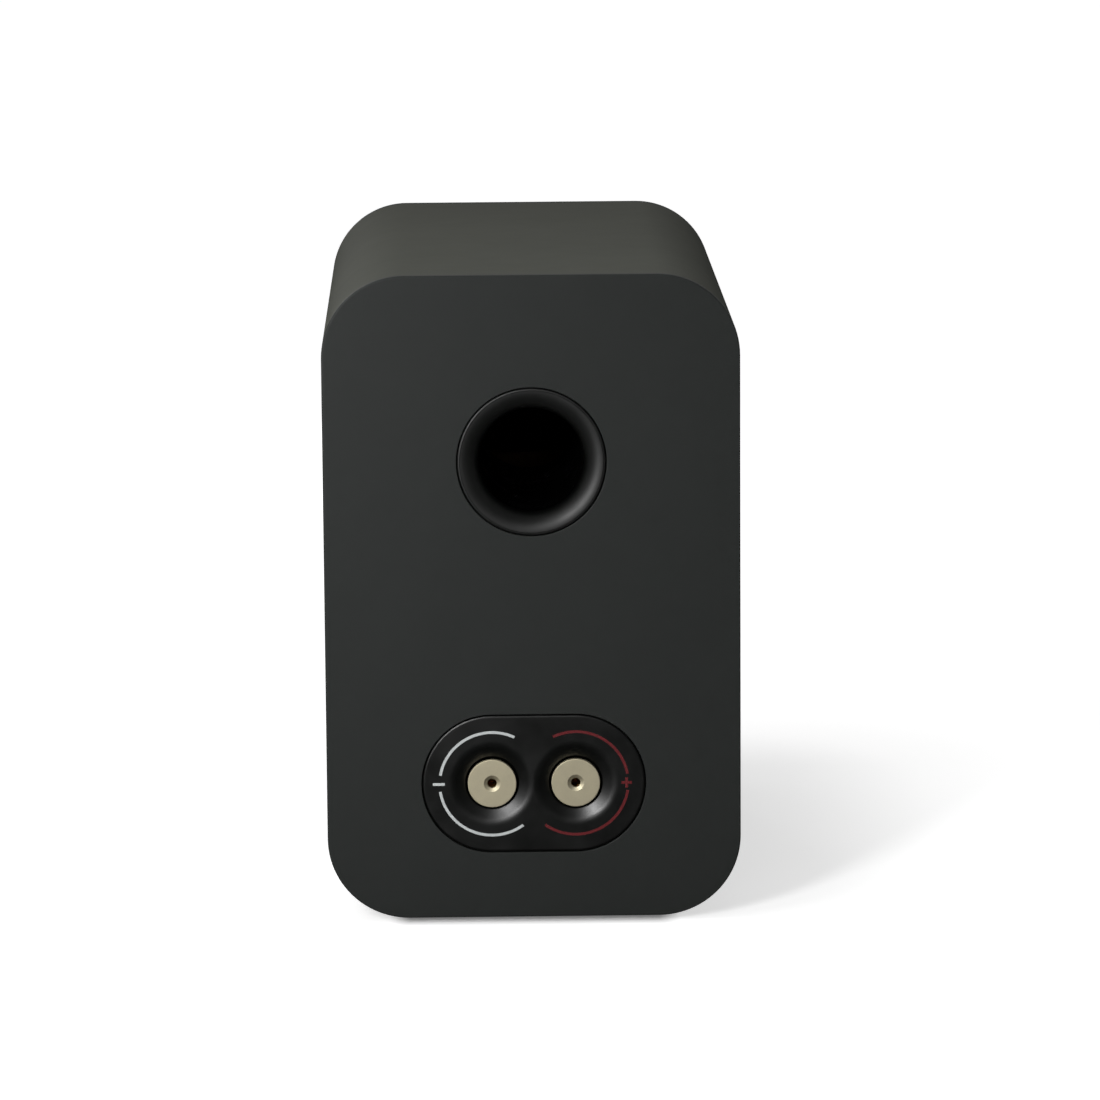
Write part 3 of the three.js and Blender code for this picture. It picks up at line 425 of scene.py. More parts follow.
def turned_piece(name, node, profile, centre, columns, side, finish, body="cabinet", looped=True, sharp=34):
    """A turned piece that stands for a node. side is from_rear or from_front, where depths start."""
    grid = turned(profile, centre, round_once(columns), *side)
    mesh = mesh_of(node, (grid, looped, True), sharp=sharp)
    piece(name, mesh, finish, body, [node], centre)


# ---------------------------------------------------------------- node helpers


def linear(code):
    """A colour written as six hex digits, as the linear values that shaders take."""
    shares = [int(code[i : i + 2], 16) / 255 for i in (0, 2, 4)]
    return [c / 12.92 if c <= 0.04045 else ((c + 0.055) / 1.055) ** 2.4 for c in shares] + [1]


def add(tree, kind, inputs=(), **settings):
    """A node with its settings made, and each named or numbered input set or joined to an output."""
    node = tree.nodes.new(kind)
    for key, value in settings.items():
        setattr(node, key, value)
    for key, value in dict(inputs).items():
        if isinstance(value, bpy.types.NodeSocket):
            tree.links.new(value, node.inputs[key])
        else:
            node.inputs[key].default_value = value
    return node


def sum_of(tree, operation, *values):
    """The output of one Math node."""
    return add(tree, "ShaderNodeMath", dict(enumerate(values)), operation=operation).outputs[0]


def scaled(tree, vector, factor):
    """A colour or another vector times a number."""
    return add(tree, "ShaderNodeVectorMath", {0: vector, "Scale": factor}, operation="SCALE").outputs[0]


def length_of(tree, vector):
    """How long a vector is."""
    return add(tree, "ShaderNodeVectorMath", {0: vector}, operation="LENGTH").outputs["Value"]


def parts_of(tree, vector):
    """A vector's X, Y and Z."""
    return add(tree, "ShaderNodeSeparateXYZ", {0: vector}).outputs


def mapped(tree, value, from_low, from_high, to_low, to_high):
    """A value stretched from one range to another, and held at its ends."""
    inputs = {0: value, 1: from_low, 2: from_high, 3: to_low, 4: to_high}
    return add(tree, "ShaderNodeMapRange", inputs).outputs[0]


def group(name, inputs, outputs, fill):
    """A shader node group. fill makes its nodes and returns its outputs' sockets by name."""
    tree = bpy.data.node_groups.new(name, "ShaderNodeTree")
    for label, (kind, value) in inputs.items():
        socket = tree.interface.new_socket(label, in_out="INPUT", socket_type=kind)
        if value is not None:
            socket.default_value = value
    for label, kind in outputs.items():
        tree.interface.new_socket(label, in_out="OUTPUT", socket_type=kind)
    given = tree.nodes.new("NodeGroupInput").outputs
    made = tree.nodes.new("NodeGroupOutput").inputs
    for label, socket in fill(tree, given).items():
        tree.links.new(socket, made[label])
    return tree


NUMBER = "NodeSocketFloat"
VECTOR = "NodeSocketVector"
COLOUR = "NodeSocketColor"


def noise(tree, vector, scale, detail=3.0, roughness=0.5):
    """Cloudy noise, from about 0.3 to 0.7."""
    inputs = {"Vector": vector, "Scale": scale, "Detail": detail, "Roughness": roughness}
    return add(tree, "ShaderNodeTexNoise", inputs).outputs["Fac"]


# ---------------------------------------------------------------- effects shared by the finishes


def fill_tone(tree, given):
    """The colour times 1 plus or minus the amount, by cloudy noise, with a finer share of it on top."""
    broad = noise(tree, given["Vector"], given["Scale"])
    fine_scale = sum_of(tree, "MULTIPLY", given["Scale"], 9.0)
    fine = noise(tree, given["Vector"], fine_scale)
    both = sum_of(tree, "ADD", sum_of(tree, "MULTIPLY", broad, 0.65), sum_of(tree, "MULTIPLY", fine, 0.35))
    least = sum_of(tree, "SUBTRACT", 1.0, given["Amount"])
    most = sum_of(tree, "ADD", 1.0, given["Amount"])
    factor = mapped(tree, both, 0.3, 0.7, least, most)
    return {"Color": scaled(tree, given["Color"], factor)}


def fill_gloss(tree, given):
    """The roughness plus or minus the amount, by cloudy noise, as from handling and moulding."""
    cloud = noise(tree, given["Vector"], given["Scale"], 4.0, 0.6)
    swing = mapped(tree, cloud, 0.3, 0.7, -1.0, 1.0)
    return {"Roughness": sum_of(tree, "MULTIPLY_ADD", swing, given["Amount"], given["Roughness"])}


def fill_grain(tree, given):
    """The height of a fine moulded or printed grain: small cells, broken up by noise of the same size."""
    cells = add(tree, "ShaderNodeTexVoronoi", {"Vector": given["Vector"], "Scale": given["Scale"]})
    broken = noise(tree, given["Vector"], given["Scale"])
    domed = mapped(tree, cells.outputs["Distance"], 0.0, 0.8, 1.0, 0.0)
    return {"Height": sum_of(tree, "ADD", sum_of(tree, "MULTIPLY", domed, 0.5), broken)}


def fill_turning(tree, given):
    """The height of turning marks: fine rings about the piece's own axis, uneven from ring to ring."""
    parts = parts_of(tree, given["Vector"])
    flat = sum_of(tree, "ADD", sum_of(tree, "POWER", parts[0], 2.0), sum_of(tree, "POWER", parts[2], 2.0))
    radius = sum_of(tree, "SQRT", flat)
    count = sum_of(tree, "DIVIDE", radius, given["Pitch"])
    depth = sum_of(tree, "DIVIDE", parts[1], given["Pitch"])
    place = add(tree, "ShaderNodeCombineXYZ", {0: count, 1: depth}).outputs[0]
    return {"Height": noise(tree, place, 1.0, 2.0, 0.6)}


def fill_weave(tree, given):
    """The height of a plain weave: two sets of threads that take turns to be on top."""
    parts = parts_of(tree, given["Vector"])
    across = sum_of(tree, "MULTIPLY", sum_of(tree, "DIVIDE", parts[0], given["Pitch"]), turn)
    up = sum_of(tree, "MULTIPLY", sum_of(tree, "DIVIDE", parts[2], given["Pitch"]), turn)
    warp = sum_of(tree, "ABSOLUTE", sum_of(tree, "SINE", across))
    weft = sum_of(tree, "ABSOLUTE", sum_of(tree, "SINE", up))
    half_across = sum_of(tree, "SINE", sum_of(tree, "MULTIPLY", across, 0.5))
    half_up = sum_of(tree, "SINE", sum_of(tree, "MULTIPLY", up, 0.5))
    turns = mapped(tree, sum_of(tree, "MULTIPLY", half_across, half_up), -0.2, 0.2, 0.0, 1.0)
    over = sum_of(tree, "MULTIPLY", warp, turns)
    under = sum_of(tree, "MULTIPLY", weft, sum_of(tree, "SUBTRACT", 1.0, turns))
    return {"Height": sum_of(tree, "ADD", over, under)}


tone_group = group(
    "Uneven tone",
    {"Vector": (VECTOR, None), "Color": (COLOUR, None), "Scale": (NUMBER, 20.0), "Amount": (NUMBER, 0.1)},
    {"Color": COLOUR},
    fill_tone,
)
gloss_group = group(
    "Uneven gloss",
    {"Vector": (VECTOR, None), "Scale": (NUMBER, 30.0), "Roughness": (NUMBER, 0.5), "Amount": (NUMBER, 0.05)},
    {"Roughness": NUMBER},
    fill_gloss,
)
grain_group = group(
    "Fine grain",
    {"Vector": (VECTOR, None), "Scale": (NUMBER, 1500.0)},
    {"Height": NUMBER},
    fill_grain,
)
turning_group = group(
    "Turning marks",
    {"Vector": (VECTOR, None), "Pitch": (NUMBER, 0.0003)},
    {"Height": NUMBER},
    fill_turning,
)
weave_group = group(
    "Plain weave",
    {"Vector": (VECTOR, None), "Pitch": (NUMBER, 0.001)},
    {"Height": NUMBER},
    fill_weave,
)

# ---------------------------------------------------------------- finishes


class Finish:
    """A material in the making: its tree, its Principled shader and the coordinates its patterns follow."""

    def __init__(self, name, **sockets):
        """sockets are the shader's plain values, by their names with _ for a space."""
        self.material = bpy.data.materials.new(name)
        self.material.use_nodes = True
        self.tree = self.material.node_tree
        self.shader = self.tree.nodes["Principled BSDF"]
        self.place = add(self.tree, "ShaderNodeTexCoord").outputs["Object"]
        for key, value in sockets.items():
            self.shader.inputs[key.replace("_", " ")].default_value = value

    def use(self, effect, **inputs):
        """The outputs of a shared effect on this finish's coordinates, with the finish's own values."""
        placed = {"Vector": self.place, **inputs}
        return add(self.tree, "ShaderNodeGroup", placed, node_tree=effect).outputs

    def join(self, output, socket):
        """Joins an output to one of the shader's sockets."""
        self.tree.links.new(output, self.shader.inputs[socket])

    def follow_axis(self):
        """Patterns follow the piece's own axis from here on."""
        self.place = add(self.tree, "ShaderNodeAttribute", attribute_name="from_axis").outputs["Vector"]

    def colour(self, code, scale, amount):
        """An uneven tone of the colour, which is returned for a finish that changes it further."""
        tone = self.use(tone_group, Color=linear(code), Scale=scale, Amount=amount)
        self.join(tone["Color"], "Base Color")
        return tone["Color"]

    def gloss(self, roughness, scale, amount):
        """A roughness that is uneven by the amount."""
        gloss = self.use(gloss_group, Scale=scale, Roughness=roughness, Amount=amount)
        self.join(gloss["Roughness"], "Roughness")

    def relief(self, height, depth):
        """Bump as deep as given."""
        bump = add(self.tree, "ShaderNodeBump", {"Height": height, "Strength": 1.0, "Distance": depth})
        self.join(bump.outputs[0], "Normal")

    def grain(self, scale, depth):
        """A fine grain with so many cells a metre, and as deep as given."""
        self.relief(self.use(grain_group, Scale=scale)["Height"], depth)


def foil(name, colour, roughness, coat):
    """Wood board under a soft-touch foil with a fine, slightly pebbled grain and a thin, faint gloss."""
    finish = Finish(name, Specular_IOR_Level=0.0, Coat_Weight=coat, Coat_Roughness=roughness)
    finish.colour(colour, 9.0, 0.05)
    finish.gloss(roughness, 14.0, 0.04)
    finish.grain(1400.0, 0.012 * mm)
    return finish.material


def moulded(name, colour, roughness, specular):
    """Injection-moulded plastic with a fine spark-eroded grain."""
    finish = Finish(name, Specular_IOR_Level=specular)
    finish.colour(colour, 25.0, 0.08)
    finish.gloss(roughness, 60.0, 0.05)
    finish.grain(2200.0, 0.006 * mm)
    return finish.material


def port_plastic_painted_shade(name, colour, roughness, specular):
    """Moulded plastic that gets smoother down the port's flare, towards the throat, with painted shade that
    darkens its colour there.
    """
    finish = Finish(name, Specular_IOR_Level=specular)
    tone = finish.colour(colour, 25.0, 0.08)
    rearward = parts_of(finish.tree, finish.place)["Y"]
    throat = rear_face - port_flare_depth
    lit = rear_face - port_painted_shade_start
    finish.gloss(mapped(finish.tree, rearward, throat, lit, 0.25, roughness), 60.0, 0.05)
    finish.grain(2200.0, 0.006 * mm)
    # painted shade: down the flare the colour falls to a tenth at the throat, which darkens the port as if in
    # shadow
    share = mapped(finish.tree, rearward, throat, lit, 0.1, 1.0)
    finish.join(scaled(finish.tree, tone, share), "Base Color")
    return finish.material


def turned_metal(name, colour, roughness, pitch, depth):
    """Metal with the fine rings that turning leaves."""
    finish = Finish(name, Metallic=1.0)
    finish.colour(colour, 150.0, 0.05)
    finish.gloss(roughness, 220.0, 0.04)
    finish.follow_axis()
    finish.relief(finish.use(turning_group, Pitch=pitch)["Height"], depth)
    return finish.material


def plain_metal(name, colour, roughness, grain=900.0, depth=0.004 * mm):
    """Plated, pressed or painted metal."""
    finish = Finish(name, Metallic=1.0)
    finish.colour(colour, 60.0, 0.1)
    finish.gloss(roughness, 90.0, 0.08)
    finish.grain(grain, depth)
    return finish.material


def woven(name, colour, roughness, pitch, depth):
    """Coated cloth whose threads follow the piece's own axis."""
    finish = Finish(name, Specular_IOR_Level=0.3)
    finish.follow_axis()
    finish.colour(colour, 60.0, 0.12)
    finish.gloss(roughness, 200.0, 0.08)
    finish.relief(finish.use(weave_group, Pitch=pitch)["Height"], depth)
    return finish.material


def soft(name, colour, roughness, grain, depth, amount=0.12):
    """Rubber, foam or bare board: a matt, uneven surface."""
    finish = Finish(name, Specular_IOR_Level=0.25)
    finish.colour(colour, 40.0, amount)
    finish.gloss(roughness, 80.0, 0.06)
    finish.grain(grain, depth)
    return finish.material


def ink(name, colour):
    """Screen-printing ink, thin and slightly uneven in cover."""
    finish = Finish(name, Specular_IOR_Level=0.3)
    finish.colour(colour, 900.0, 0.07)
    finish.gloss(0.5, 500.0, 0.06)
    finish.grain(5000.0, 0.004 * mm)
    return finish.material


finishes = {
    "wrap_foil": foil("Wrap foil", "545550", 0.45, 0.02),
    "panel_foil": foil("Panel foil", "262827", 0.45, 0.25),
    "raw_board": soft("Raw board", "6e543a", 0.9, 900.0, 0.05 * mm, 0.2),
    "foot_rubber": soft("Foot rubber", "121212", 0.75, 1500.0, 0.02 * mm),
    "black_plastic": moulded("Black plastic", "030403", 0.37, 0.58),
    "port_plastic_painted_shade": port_plastic_painted_shade("Port plastic with painted shade", "0b0c0b", 0.47, 0.43),
    "grey_plastic": moulded("Grey plastic", "242526", 0.5, 0.25),
    "foam": soft("Foam", "2a2a2c", 0.95, 700.0, 0.25 * mm),
    "nickel": turned_metal("Satin nickel", "cec6ac", 0.6, 0.12 * mm, 0.0015 * mm),
    "brass": turned_metal("Brass", "b08d4a", 0.3, 0.15 * mm, 0.002 * mm),
    "stamped_brass": plain_metal("Stamped brass", "b08d4a", 0.35),
    "steel": plain_metal("Zinc-plated steel", "8c8f92", 0.4),
    "black_steel": plain_metal("Black powder coat", "1c1c1d", 0.5, 1600.0, 0.02 * mm),
    "satin_trim": turned_metal("Satin trim", "3a3b3d", 0.35, 0.2 * mm, 0.002 * mm),
    "ferrite": soft("Ferrite", "2c2b2b", 0.85, 1100.0, 0.04 * mm),
    "copper": plain_metal("Copper winding", "b06a3c", 0.35),
    "cone_paper": woven("Woven cone", "1d1e20", 0.6, 1.6 * mm, 0.05 * mm),
    "surround_rubber": soft("Surround rubber", "121212", 0.6, 1800.0, 0.01 * mm),
    "silk": woven("Coated silk", "17181a", 0.7, 0.5 * mm, 0.02 * mm),
    "spider_cloth": woven("Spider cloth", "b89a52", 0.9, 0.9 * mm, 0.08 * mm),
    "circuit_board": moulded("Circuit board", "1f5a34", 0.45, 0.4),
    "capacitor_film": moulded("Capacitor film", "8c2a22", 0.35, 0.4),
    "cement": soft("Cement", "d8d4c8", 0.85, 900.0, 0.06 * mm),
    "cable_sheath": moulded("Cable sheath", "1a1a1a", 0.5, 0.35),
    "white_ink": ink("White ink", "aeb2b2"),
    "red_ink": ink("Red ink", "5c1217"),
}

# ---------------------------------------------------------------- cabinet


def cabinet_outline(inset):
    """The cabinet's whole outline, drawn in by inset."""
    return np.concatenate(halves(inset, middle("cabinet_wrap").z))


def make_wrap():
    """The bent shell: an eased rectangle of wall thickness by depth, carried round the outline."""
    near = low("cabinet_wrap").y
    depth = front_to_back("cabinet_wrap")
    corners = [(0, 0), (0, depth), (wall, depth), (wall, 0)]
    profile = eased(corners, [eased_edge / 2, eased_edge / 2, 0, 0], closed=True)
    mesh = mesh_of("cabinet_wrap", (carried(profile, cabinet_outline, near, 1), True, True))
    piece("wrap_shell", mesh, "wrap_foil", stands_for=["cabinet_wrap"])


def make_panel(name, node, side, lip, split, holes):
    """An end panel with two holes: a band round its edge, and a pierced grid above and below the split.

    holes gives the upper and the lower hole as (height, half spacing, profile).
    """
    face, inward = side
    plug = wall + glue_gap
    thickness = front_to_back(node)
    margin = 2 * eased_edge
    corners = [(margin, 0), (0, 0), (0, lip), (plug, lip), (plug, thickness)]
    profile = eased(corners, [0, eased_edge, 0.3 * mm, 0, 0])
    band = carried(profile, lambda inset: np.concatenate(halves(inset, split)), face, inward)

    def boundary(inset, which):
        """Half the outline, closed along the split."""
        edge = halves(inset, split)[which]
        start = edge[0]
        return np.concatenate([edge, run((-start[0], split), start, split_steps)])

    regions = []
    for which, (height, half, hole) in enumerate(holes):
        centre = np.array([0, height])
        front = boundary(margin, which)
        back = boundary(plug, which)
        grid = pierced(front, back, centre, half, hole, face, inward, thickness)
        regions.append((grid, False, True))
    mesh = mesh_of(name, (band, False, True), *regions)
    piece(name, mesh, "panel_foil", stands_for=[node])


def stepped_hole(outer, step, inner, thickness, ease):
    """The profile of a hole with a rebate, eased where it meets the face."""
    corners = [
        (outer + 2 * ease, 0),
        (outer, 0),
        (outer, step),
        (inner, step),
        (inner, thickness),
        (inner + 1 * mm, thickness),
    ]
    return eased(corners, [0, ease, 0, 0.3 * mm, 0, 0])


def make_rear_panel():
    """The rear panel, rebated for the port and the tray."""
    thickness = front_to_back("rear_panel")
    port_neck = flare_radius(port_flange, reach("reflex_port") - port_rim, port_throat, port_flare_depth)
    port_hole = port_neck + port_wall + hole_gap
    port_edge = reach("reflex_port") + rebate_gap
    port = stepped_hole(port_edge, port_flange + glue_gap, port_hole, thickness, 0.35 * mm)
    tray_hole = dish_well + tray_wall + hole_gap
    tray = stepped_hole(tray_end + rebate_gap, tray_seat, tray_hole, thickness, 0.35 * mm)
    split = (port_axis.z + tray_middle.z) / 2
    holes = [(port_axis.z, 0, port), (tray_middle.z, post_offset, tray)]
    make_panel("rear_board", "rear_panel", from_rear, rear_lip, split, holes)


def make_front_baffle():
    """The front baffle, rebated for the two drivers."""
    thickness = front_to_back("front_baffle")
    woofer = stepped_hole(woofer_rebate, woofer_seat, woofer_cutout, thickness, 0.3 * mm)
    tweeter = stepped_hole(tweeter_rebate, tweeter_seat, tweeter_cutout, thickness, 0.3 * mm)
    split = (low("tweeter_trim_ring").z + high("woofer_trim_ring").z) / 2
    holes = [(tweeter_axis.z, 0, tweeter), (woofer_axis.z, 0, woofer)]
    make_panel("baffle_board", "front_baffle", from_front, baffle_lip, split, holes)


def make_feet():
    """Thin turned pads with an eased lower edge."""
    for node in ("foot_front_left", "foot_front_right", "foot_rear_left", "foot_rear_right"):
        height = high(node).z - low(node).z
        radius = reach(node)
        profile = eased([(0, 0), (radius, 0), (radius, height), (0, height)], [0, 0.5 * mm, 0, 0])
        grid = turned(profile, Vector((0, 0, 0)), round_once(64))[..., [0, 2, 1]]
        place = middle(node)
        grid += np.array([place.x, place.y, low(node).z])
        mesh = mesh_of(node, (grid, False, True))
        piece(node.replace("foot", "pad"), mesh, "foot_rubber", stands_for=[node])


def make_foam():
    """A foam slab with an egg-crate face: its lower side is a product of two cosines."""
    near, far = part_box("damping_foam")
    pitch = 26 * mm
    depth = 9 * mm
    x, y = np.meshgrid(np.linspace(near.x, far.x, 121), np.linspace(near.y, far.y, 121), indexing="ij")
    wave = np.cos(turn * (x - near.x) / pitch) * np.cos(turn * (y - near.y) / pitch)
    crate = np.stack([x, y, near.z + depth * (0.5 + 0.5 * wave)], axis=-1)
    flat = np.stack([x, y, np.full_like(x, far.z)], axis=-1)

    def rim(grid):
        """The points round a grid's edge."""
        return np.concatenate([grid[0, :-1], grid[:-1, -1], grid[-1, :0:-1], grid[:0:-1, 0]])

    sides = np.stack([rim(crate), rim(flat)])
    mesh = mesh_of("damping_foam", (crate, False, False), (flat, False, False), (sides, False, True))
    made = piece("foam_slab", mesh, "foam", stands_for=["damping_foam"])


# ---------------------------------------------------------------- reflex port


def make_port():
    """The port turned as one moulding: rolled flange, elliptical flare, tube and a small inner flare."""
    flange = reach("reflex_port")
    length = front_to_back("reflex_port")
    mouth = flange - port_rim
    outer_flare = flare(mouth, port_throat, port_flare_depth, 28)
    inner_mouth = port_throat + port_inner_flare
    inner_flare = flare(inner_mouth, port_throat, port_inner_depth, 12)[::-1] * [1, -1] + [0, length]
    outside = [
        (inner_mouth + port_wall, length),
        (port_throat + port_wall, length - port_inner_depth),
        (port_throat + port_wall, port_flare_depth),
        (flange - 1.5 * mm, port_flange),
        (flange, port_flange),
        (flange, 0),
    ]
    outside = eased([*outside, (mouth, 0)], [0, 0, 2 * mm, 0.3 * mm, 0.2 * mm, 0.75 * mm, 0])
    profile = np.concatenate([outer_flare, inner_flare, outside[:-1]])
    turned_piece("port_moulding", "reflex_port", profile, port_axis, 192, from_rear, "port_plastic_painted_shade")


# ---------------------------------------------------------------- terminals


def tray_side(side, inset):
    """Half of the tray's outline, on one side of x = 0: [x, z] points from bottom to top round its end."""
    radius = tray_end - inset
    x = side * post_offset
    middle_z = tray_middle.z
    points = [
        run((0, middle_z - radius), (x, middle_z - radius), side_steps),
        arc((x, middle_z), radius, -quarter, -quarter + side * 2 * quarter, bowl_steps),
        run((x, middle_z + radius), (0, middle_z + radius), side_steps),
        [(0, middle_z + radius)],
    ]
    return np.concatenate(points)


def tray_edge(inset):
    """The tray's whole outline, drawn in by inset."""
    return np.concatenate([tray_side(1, inset)[:-1], tray_side(-1, inset)[:0:-1]])


def dish_centre(side):
    """The middle of the dish on one side of x = 0, as [x, z]."""
    return np.array([side * post_offset, tray_middle.z])


def bowl_profile():
    """[radius, depth] from the tray's flat face down a bowl's cone and over its rounded inner edge."""
    corners = [(bowl_edge, 0), (dish_mouth, 0), (dish_well, dish_slope), (dish_well, dish_depth)]
    return eased(corners, [0, bowl_rounding, dish_rounding, 0], steps=14)


def bowl_depth(points):
    """How deep the tray's face lies at [x, z] points: the sum of both bowls' depths, so that they merge."""
    radius, depth = bowl_profile()[:-1].T
    total = np.zeros(len(points))
    for side in (1, -1):
        away = np.linalg.norm(points - dish_centre(side), axis=1)
        total += np.interp(away, radius[::-1], depth[::-1], right=0)
    return total


def face_rows(boundary, ring, count):
    """Rows over the tray's face from a boundary to a ring in the bowl, sunk to the face's depth."""
    rows = []
    for share in np.linspace(0, 1, count):
        points = boundary * (1 - share) + ring * share
        rows.append(np.insert(points, 1, tray_face - bowl_depth(points), axis=1))
    return rows


def tray_well():
    """[radius, depth] of a bowl as far as the saddle between the two bowls."""
    profile = bowl_profile()
    return profile[profile[:, 0] < post_offset - 0.2 * mm]


def tray_cup():
    """[radius, depth] over the dish's floor, through the stud's hole and over the cup's back."""
    cup = dish_well + tray_wall
    back = dish_depth + tray_wall
    corners = [(dish_well, dish_depth), (stud_hole, dish_depth), (stud_hole, back), (cup, back)]
    floor = eased(corners, [0, 0.2 * mm, 0.2 * mm, 0.6 * mm])
    return np.concatenate([floor[1:], [(cup, tray_flange)]])


def tray_half(side, margin):
    """A grid over the tray's face on one side of x = 0, down its dish and over its back.

    A point of the face and of the bowl is as deep as the bowls make it there, and a point beyond them has the
    depth of its ring.
    """
    centre = dish_centre(side)
    boundaries = []
    for inset in (margin, 0):
        half = tray_side(side, inset)
        boundaries.append(np.concatenate([half[:-1], run(half[-1], half[0], bowl_steps)]))
    front, back = boundaries
    well = [ring_towards(front, centre, 0, radius) for radius in tray_well()[:, 0]]
    in_well = [np.insert(ring, 1, tray_face - bowl_depth(ring), axis=1) for ring in well]
    in_cup = [at_depth(ring_towards(front, centre, 0, r), tray_face - depth) for r, depth in tray_cup()]
    face = face_rows(front, well[0], 20)[:-1]
    return np.stack([*face, *in_well, *in_cup, at_depth(back, tray_face - tray_flange)])


def make_tray():
    """The tray: a band round its edge, and on each side a grid over its face and through the dish."""
    margin = 3 * mm
    band = eased([(margin, 0), (0, 0), (0, tray_flange)], [0, tray_edge_ease, 0])
    edge = carried(band, tray_edge, tray_face, -1)
    grids = [edge, tray_half(1, margin), tray_half(-1, margin)]
    mesh = mesh_of("terminal_tray", *[(grid, False, True) for grid in grids])
    piece("tray_moulding", mesh, "black_plastic", stands_for=["terminal_tray"])


def post_part(kind, name):
    """A part of a post: its node, where the knob's axis meets the rear face, its ends' depths and radius."""
    node = f"{kind}_{name}"
    axis = middle(f"knob_cap_{name}")
    centre = Vector((axis.x, rear_face, axis.z))
    return node, centre, rear_face - high(node).y, rear_face - low(node).y, reach(node)


def make_cap(name):
    """The knob's metal face, turned: a disc with a countersunk hole, and the sleeve behind it."""
    node, centre, face, back, radius = post_part("knob_cap", name)
    plate = face + cap_thickness
    corners = [
        (cap_hole, face + cap_countersink_depth),
        (cap_countersink, face),
        (radius, face),
        (radius, plate),
        (sleeve_outside, plate),
        (sleeve_outside, back),
        (stud_hole, back),
        (stud_hole, plate),
        (cap_hole, plate),
    ]
    cuts = np.array([0.1, 0.08, 0.3, 0.2, 0, 0.2, 0.2, 0, 0.1]) * mm
    profile = eased(corners, cuts, closed=True)
    turned_piece(f"{name}_cap", node, profile, centre, 128, from_rear, "nickel", f"{name}_knob", sharp=24)


def make_grip(name):
    """The fluted grip: a turned ring whose outside is drawn in by a raised cosine, once per flute."""
    node, centre, near, far, radius = post_part("knob_body", name)
    inside = sleeve_outside + glue_gap
    profile = ring_section(inside, radius, near, far, [0, 0.4 * mm, 0.6 * mm, 0])
    angle = round_once(16 * flutes)
    grid = turned(profile, centre, angle, *from_rear)
    draw = flute_depth * (0.5 - 0.5 * np.cos(flutes * angle)) ** 0.7
    outer = (profile[:, 0] > (inside + radius) / 2)[:, None]
    grid = drawn_in(grid, centre, outer * draw / radius)
    mesh = mesh_of(node, (grid, True, True))
    piece(f"{name}_grip", mesh, "black_plastic", f"{name}_knob", [node], centre)


def make_washer(name):
    """The loose washer that grips a bare wire, turned with its edges broken."""
    node, centre, near, far, radius = post_part("clamp_washer", name)
    profile = ring_section(stud_hole, radius, near, far, [0.2 * mm, 0.3 * mm, 0.3 * mm, 0.2 * mm])
    turned_piece(f"{name}_washer", node, profile, centre, 96, from_rear, "nickel", f"{name}_clamp")


def thread_run(start, end):
    """[radius, depth] along a threaded length, with eight points to a pitch."""
    depth = np.arange(start, end, thread_pitch / 8)
    return np.stack([np.full_like(depth, thread_radius), depth], axis=1)


def stud_profile(front, tail, collar, collar_front, collar_back):
    """[radius, depth] from the banana bore's floor over the stud's front and its collar to its tail."""
    bore_floor = front + banana_bore_depth
    corners = [
        (thread_radius, collar_front),
        (collar, collar_front),
        (collar, collar_back),
        (thread_radius, collar_back),
    ]
    parts = [
        [(0, bore_floor), (banana_bore, bore_floor), (banana_bore, front)],
        thread_run(front, collar_front),
        [(thread_radius, collar_front)],
        eased(corners, [0, 0.3 * mm, 0.3 * mm, 0]),
        thread_run(collar_back, tail),
        [(thread_radius, tail), (0, tail)],
    ]
    return np.concatenate(parts)


def make_stud(name):
    """The stud: turned, with a helical thread cut into it as a cosine of depth in pitches less the turn.

    The thread fades out over its last pitch before an end or the collar.
    """
    node, centre, front, tail, collar = post_part("post_stud", name)
    collar_back = dish_depth - glue_gap
    collar_front = collar_back - collar_thickness
    profile = stud_profile(front, tail, collar, collar_front, collar_back)
    angle = round_once(64)
    grid = turned(profile, centre, angle, *from_rear)
    radius, depth = profile.T[:, :, None]
    to_end = np.min([np.abs(depth - end) for end in (front, tail, collar_front, collar_back)], axis=0)
    fade = np.clip(to_end / thread_pitch, 0, 1)
    groove = thread_depth * fade * (0.5 - 0.5 * np.cos(turn * depth / thread_pitch - angle))
    grid = drawn_in(grid, centre, np.isclose(radius, thread_radius) * groove / thread_radius)
    mesh = mesh_of(node, (grid, False, True))
    piece(f"{name}_stud", mesh, "brass", stands_for=[node], centre=centre)


def ribbon(path, width, near, far):
    """Grids of a thin flat stroke: a rectangle carried along [x, z] points, and its two end faces."""
    across = square_to(path) * width / 2
    sides = [at_depth(path + across, near), at_depth(path + across, far)]
    sides += [at_depth(path - across, far), at_depth(path - across, near)]
    stroke = np.stack(sides)
    ends = [(stroke[[[0, 1], [3, 2]], end], False, False) for end in (0, -1)]
    return [(stroke, True, False), *ends]


def make_print():
    """The arcs round the dishes and the polarity marks, in ink on the tray's face."""
    near = tray_face - ink_thickness
    for name, side, paint in (("negative", 1, "white_ink"), ("positive", -1, "red_ink")):
        for part, span in arc_spans.items():
            angle = np.radians(np.linspace(*span, 97))
            along = np.stack([side * np.cos(angle), np.sin(angle)], axis=1)
            path = dish_centre(side) + arc_radius * along
            label = f"{name}_{part}_arc"
            piece(label, mesh_of(label, *ribbon(path, arc_stroke, near, rear_face)), paint)
    level = np.array([1, 0])
    upright = np.array([0, 1])
    sunk = rear_face - ink_thickness / 9  # just behind the other bar's face, where the two cross
    bars = [
        ("minus_mark", minus_place, level, minus_length, rear_face, "white_ink"),
        ("plus_mark_level", plus_place, level, plus_length, rear_face, "red_ink"),
        ("plus_mark_upright", plus_place, upright, plus_length, sunk, "red_ink"),
    ]
    for label, x, way, length, far, paint in bars:
        path = np.array([x, tray_middle.z]) + np.linspace(-0.5, 0.5, 3)[:, None] * way * length
        piece(label, mesh_of(label, *ribbon(path, arc_stroke, near, far)), paint)


# ---------------------------------------------------------------- drivers


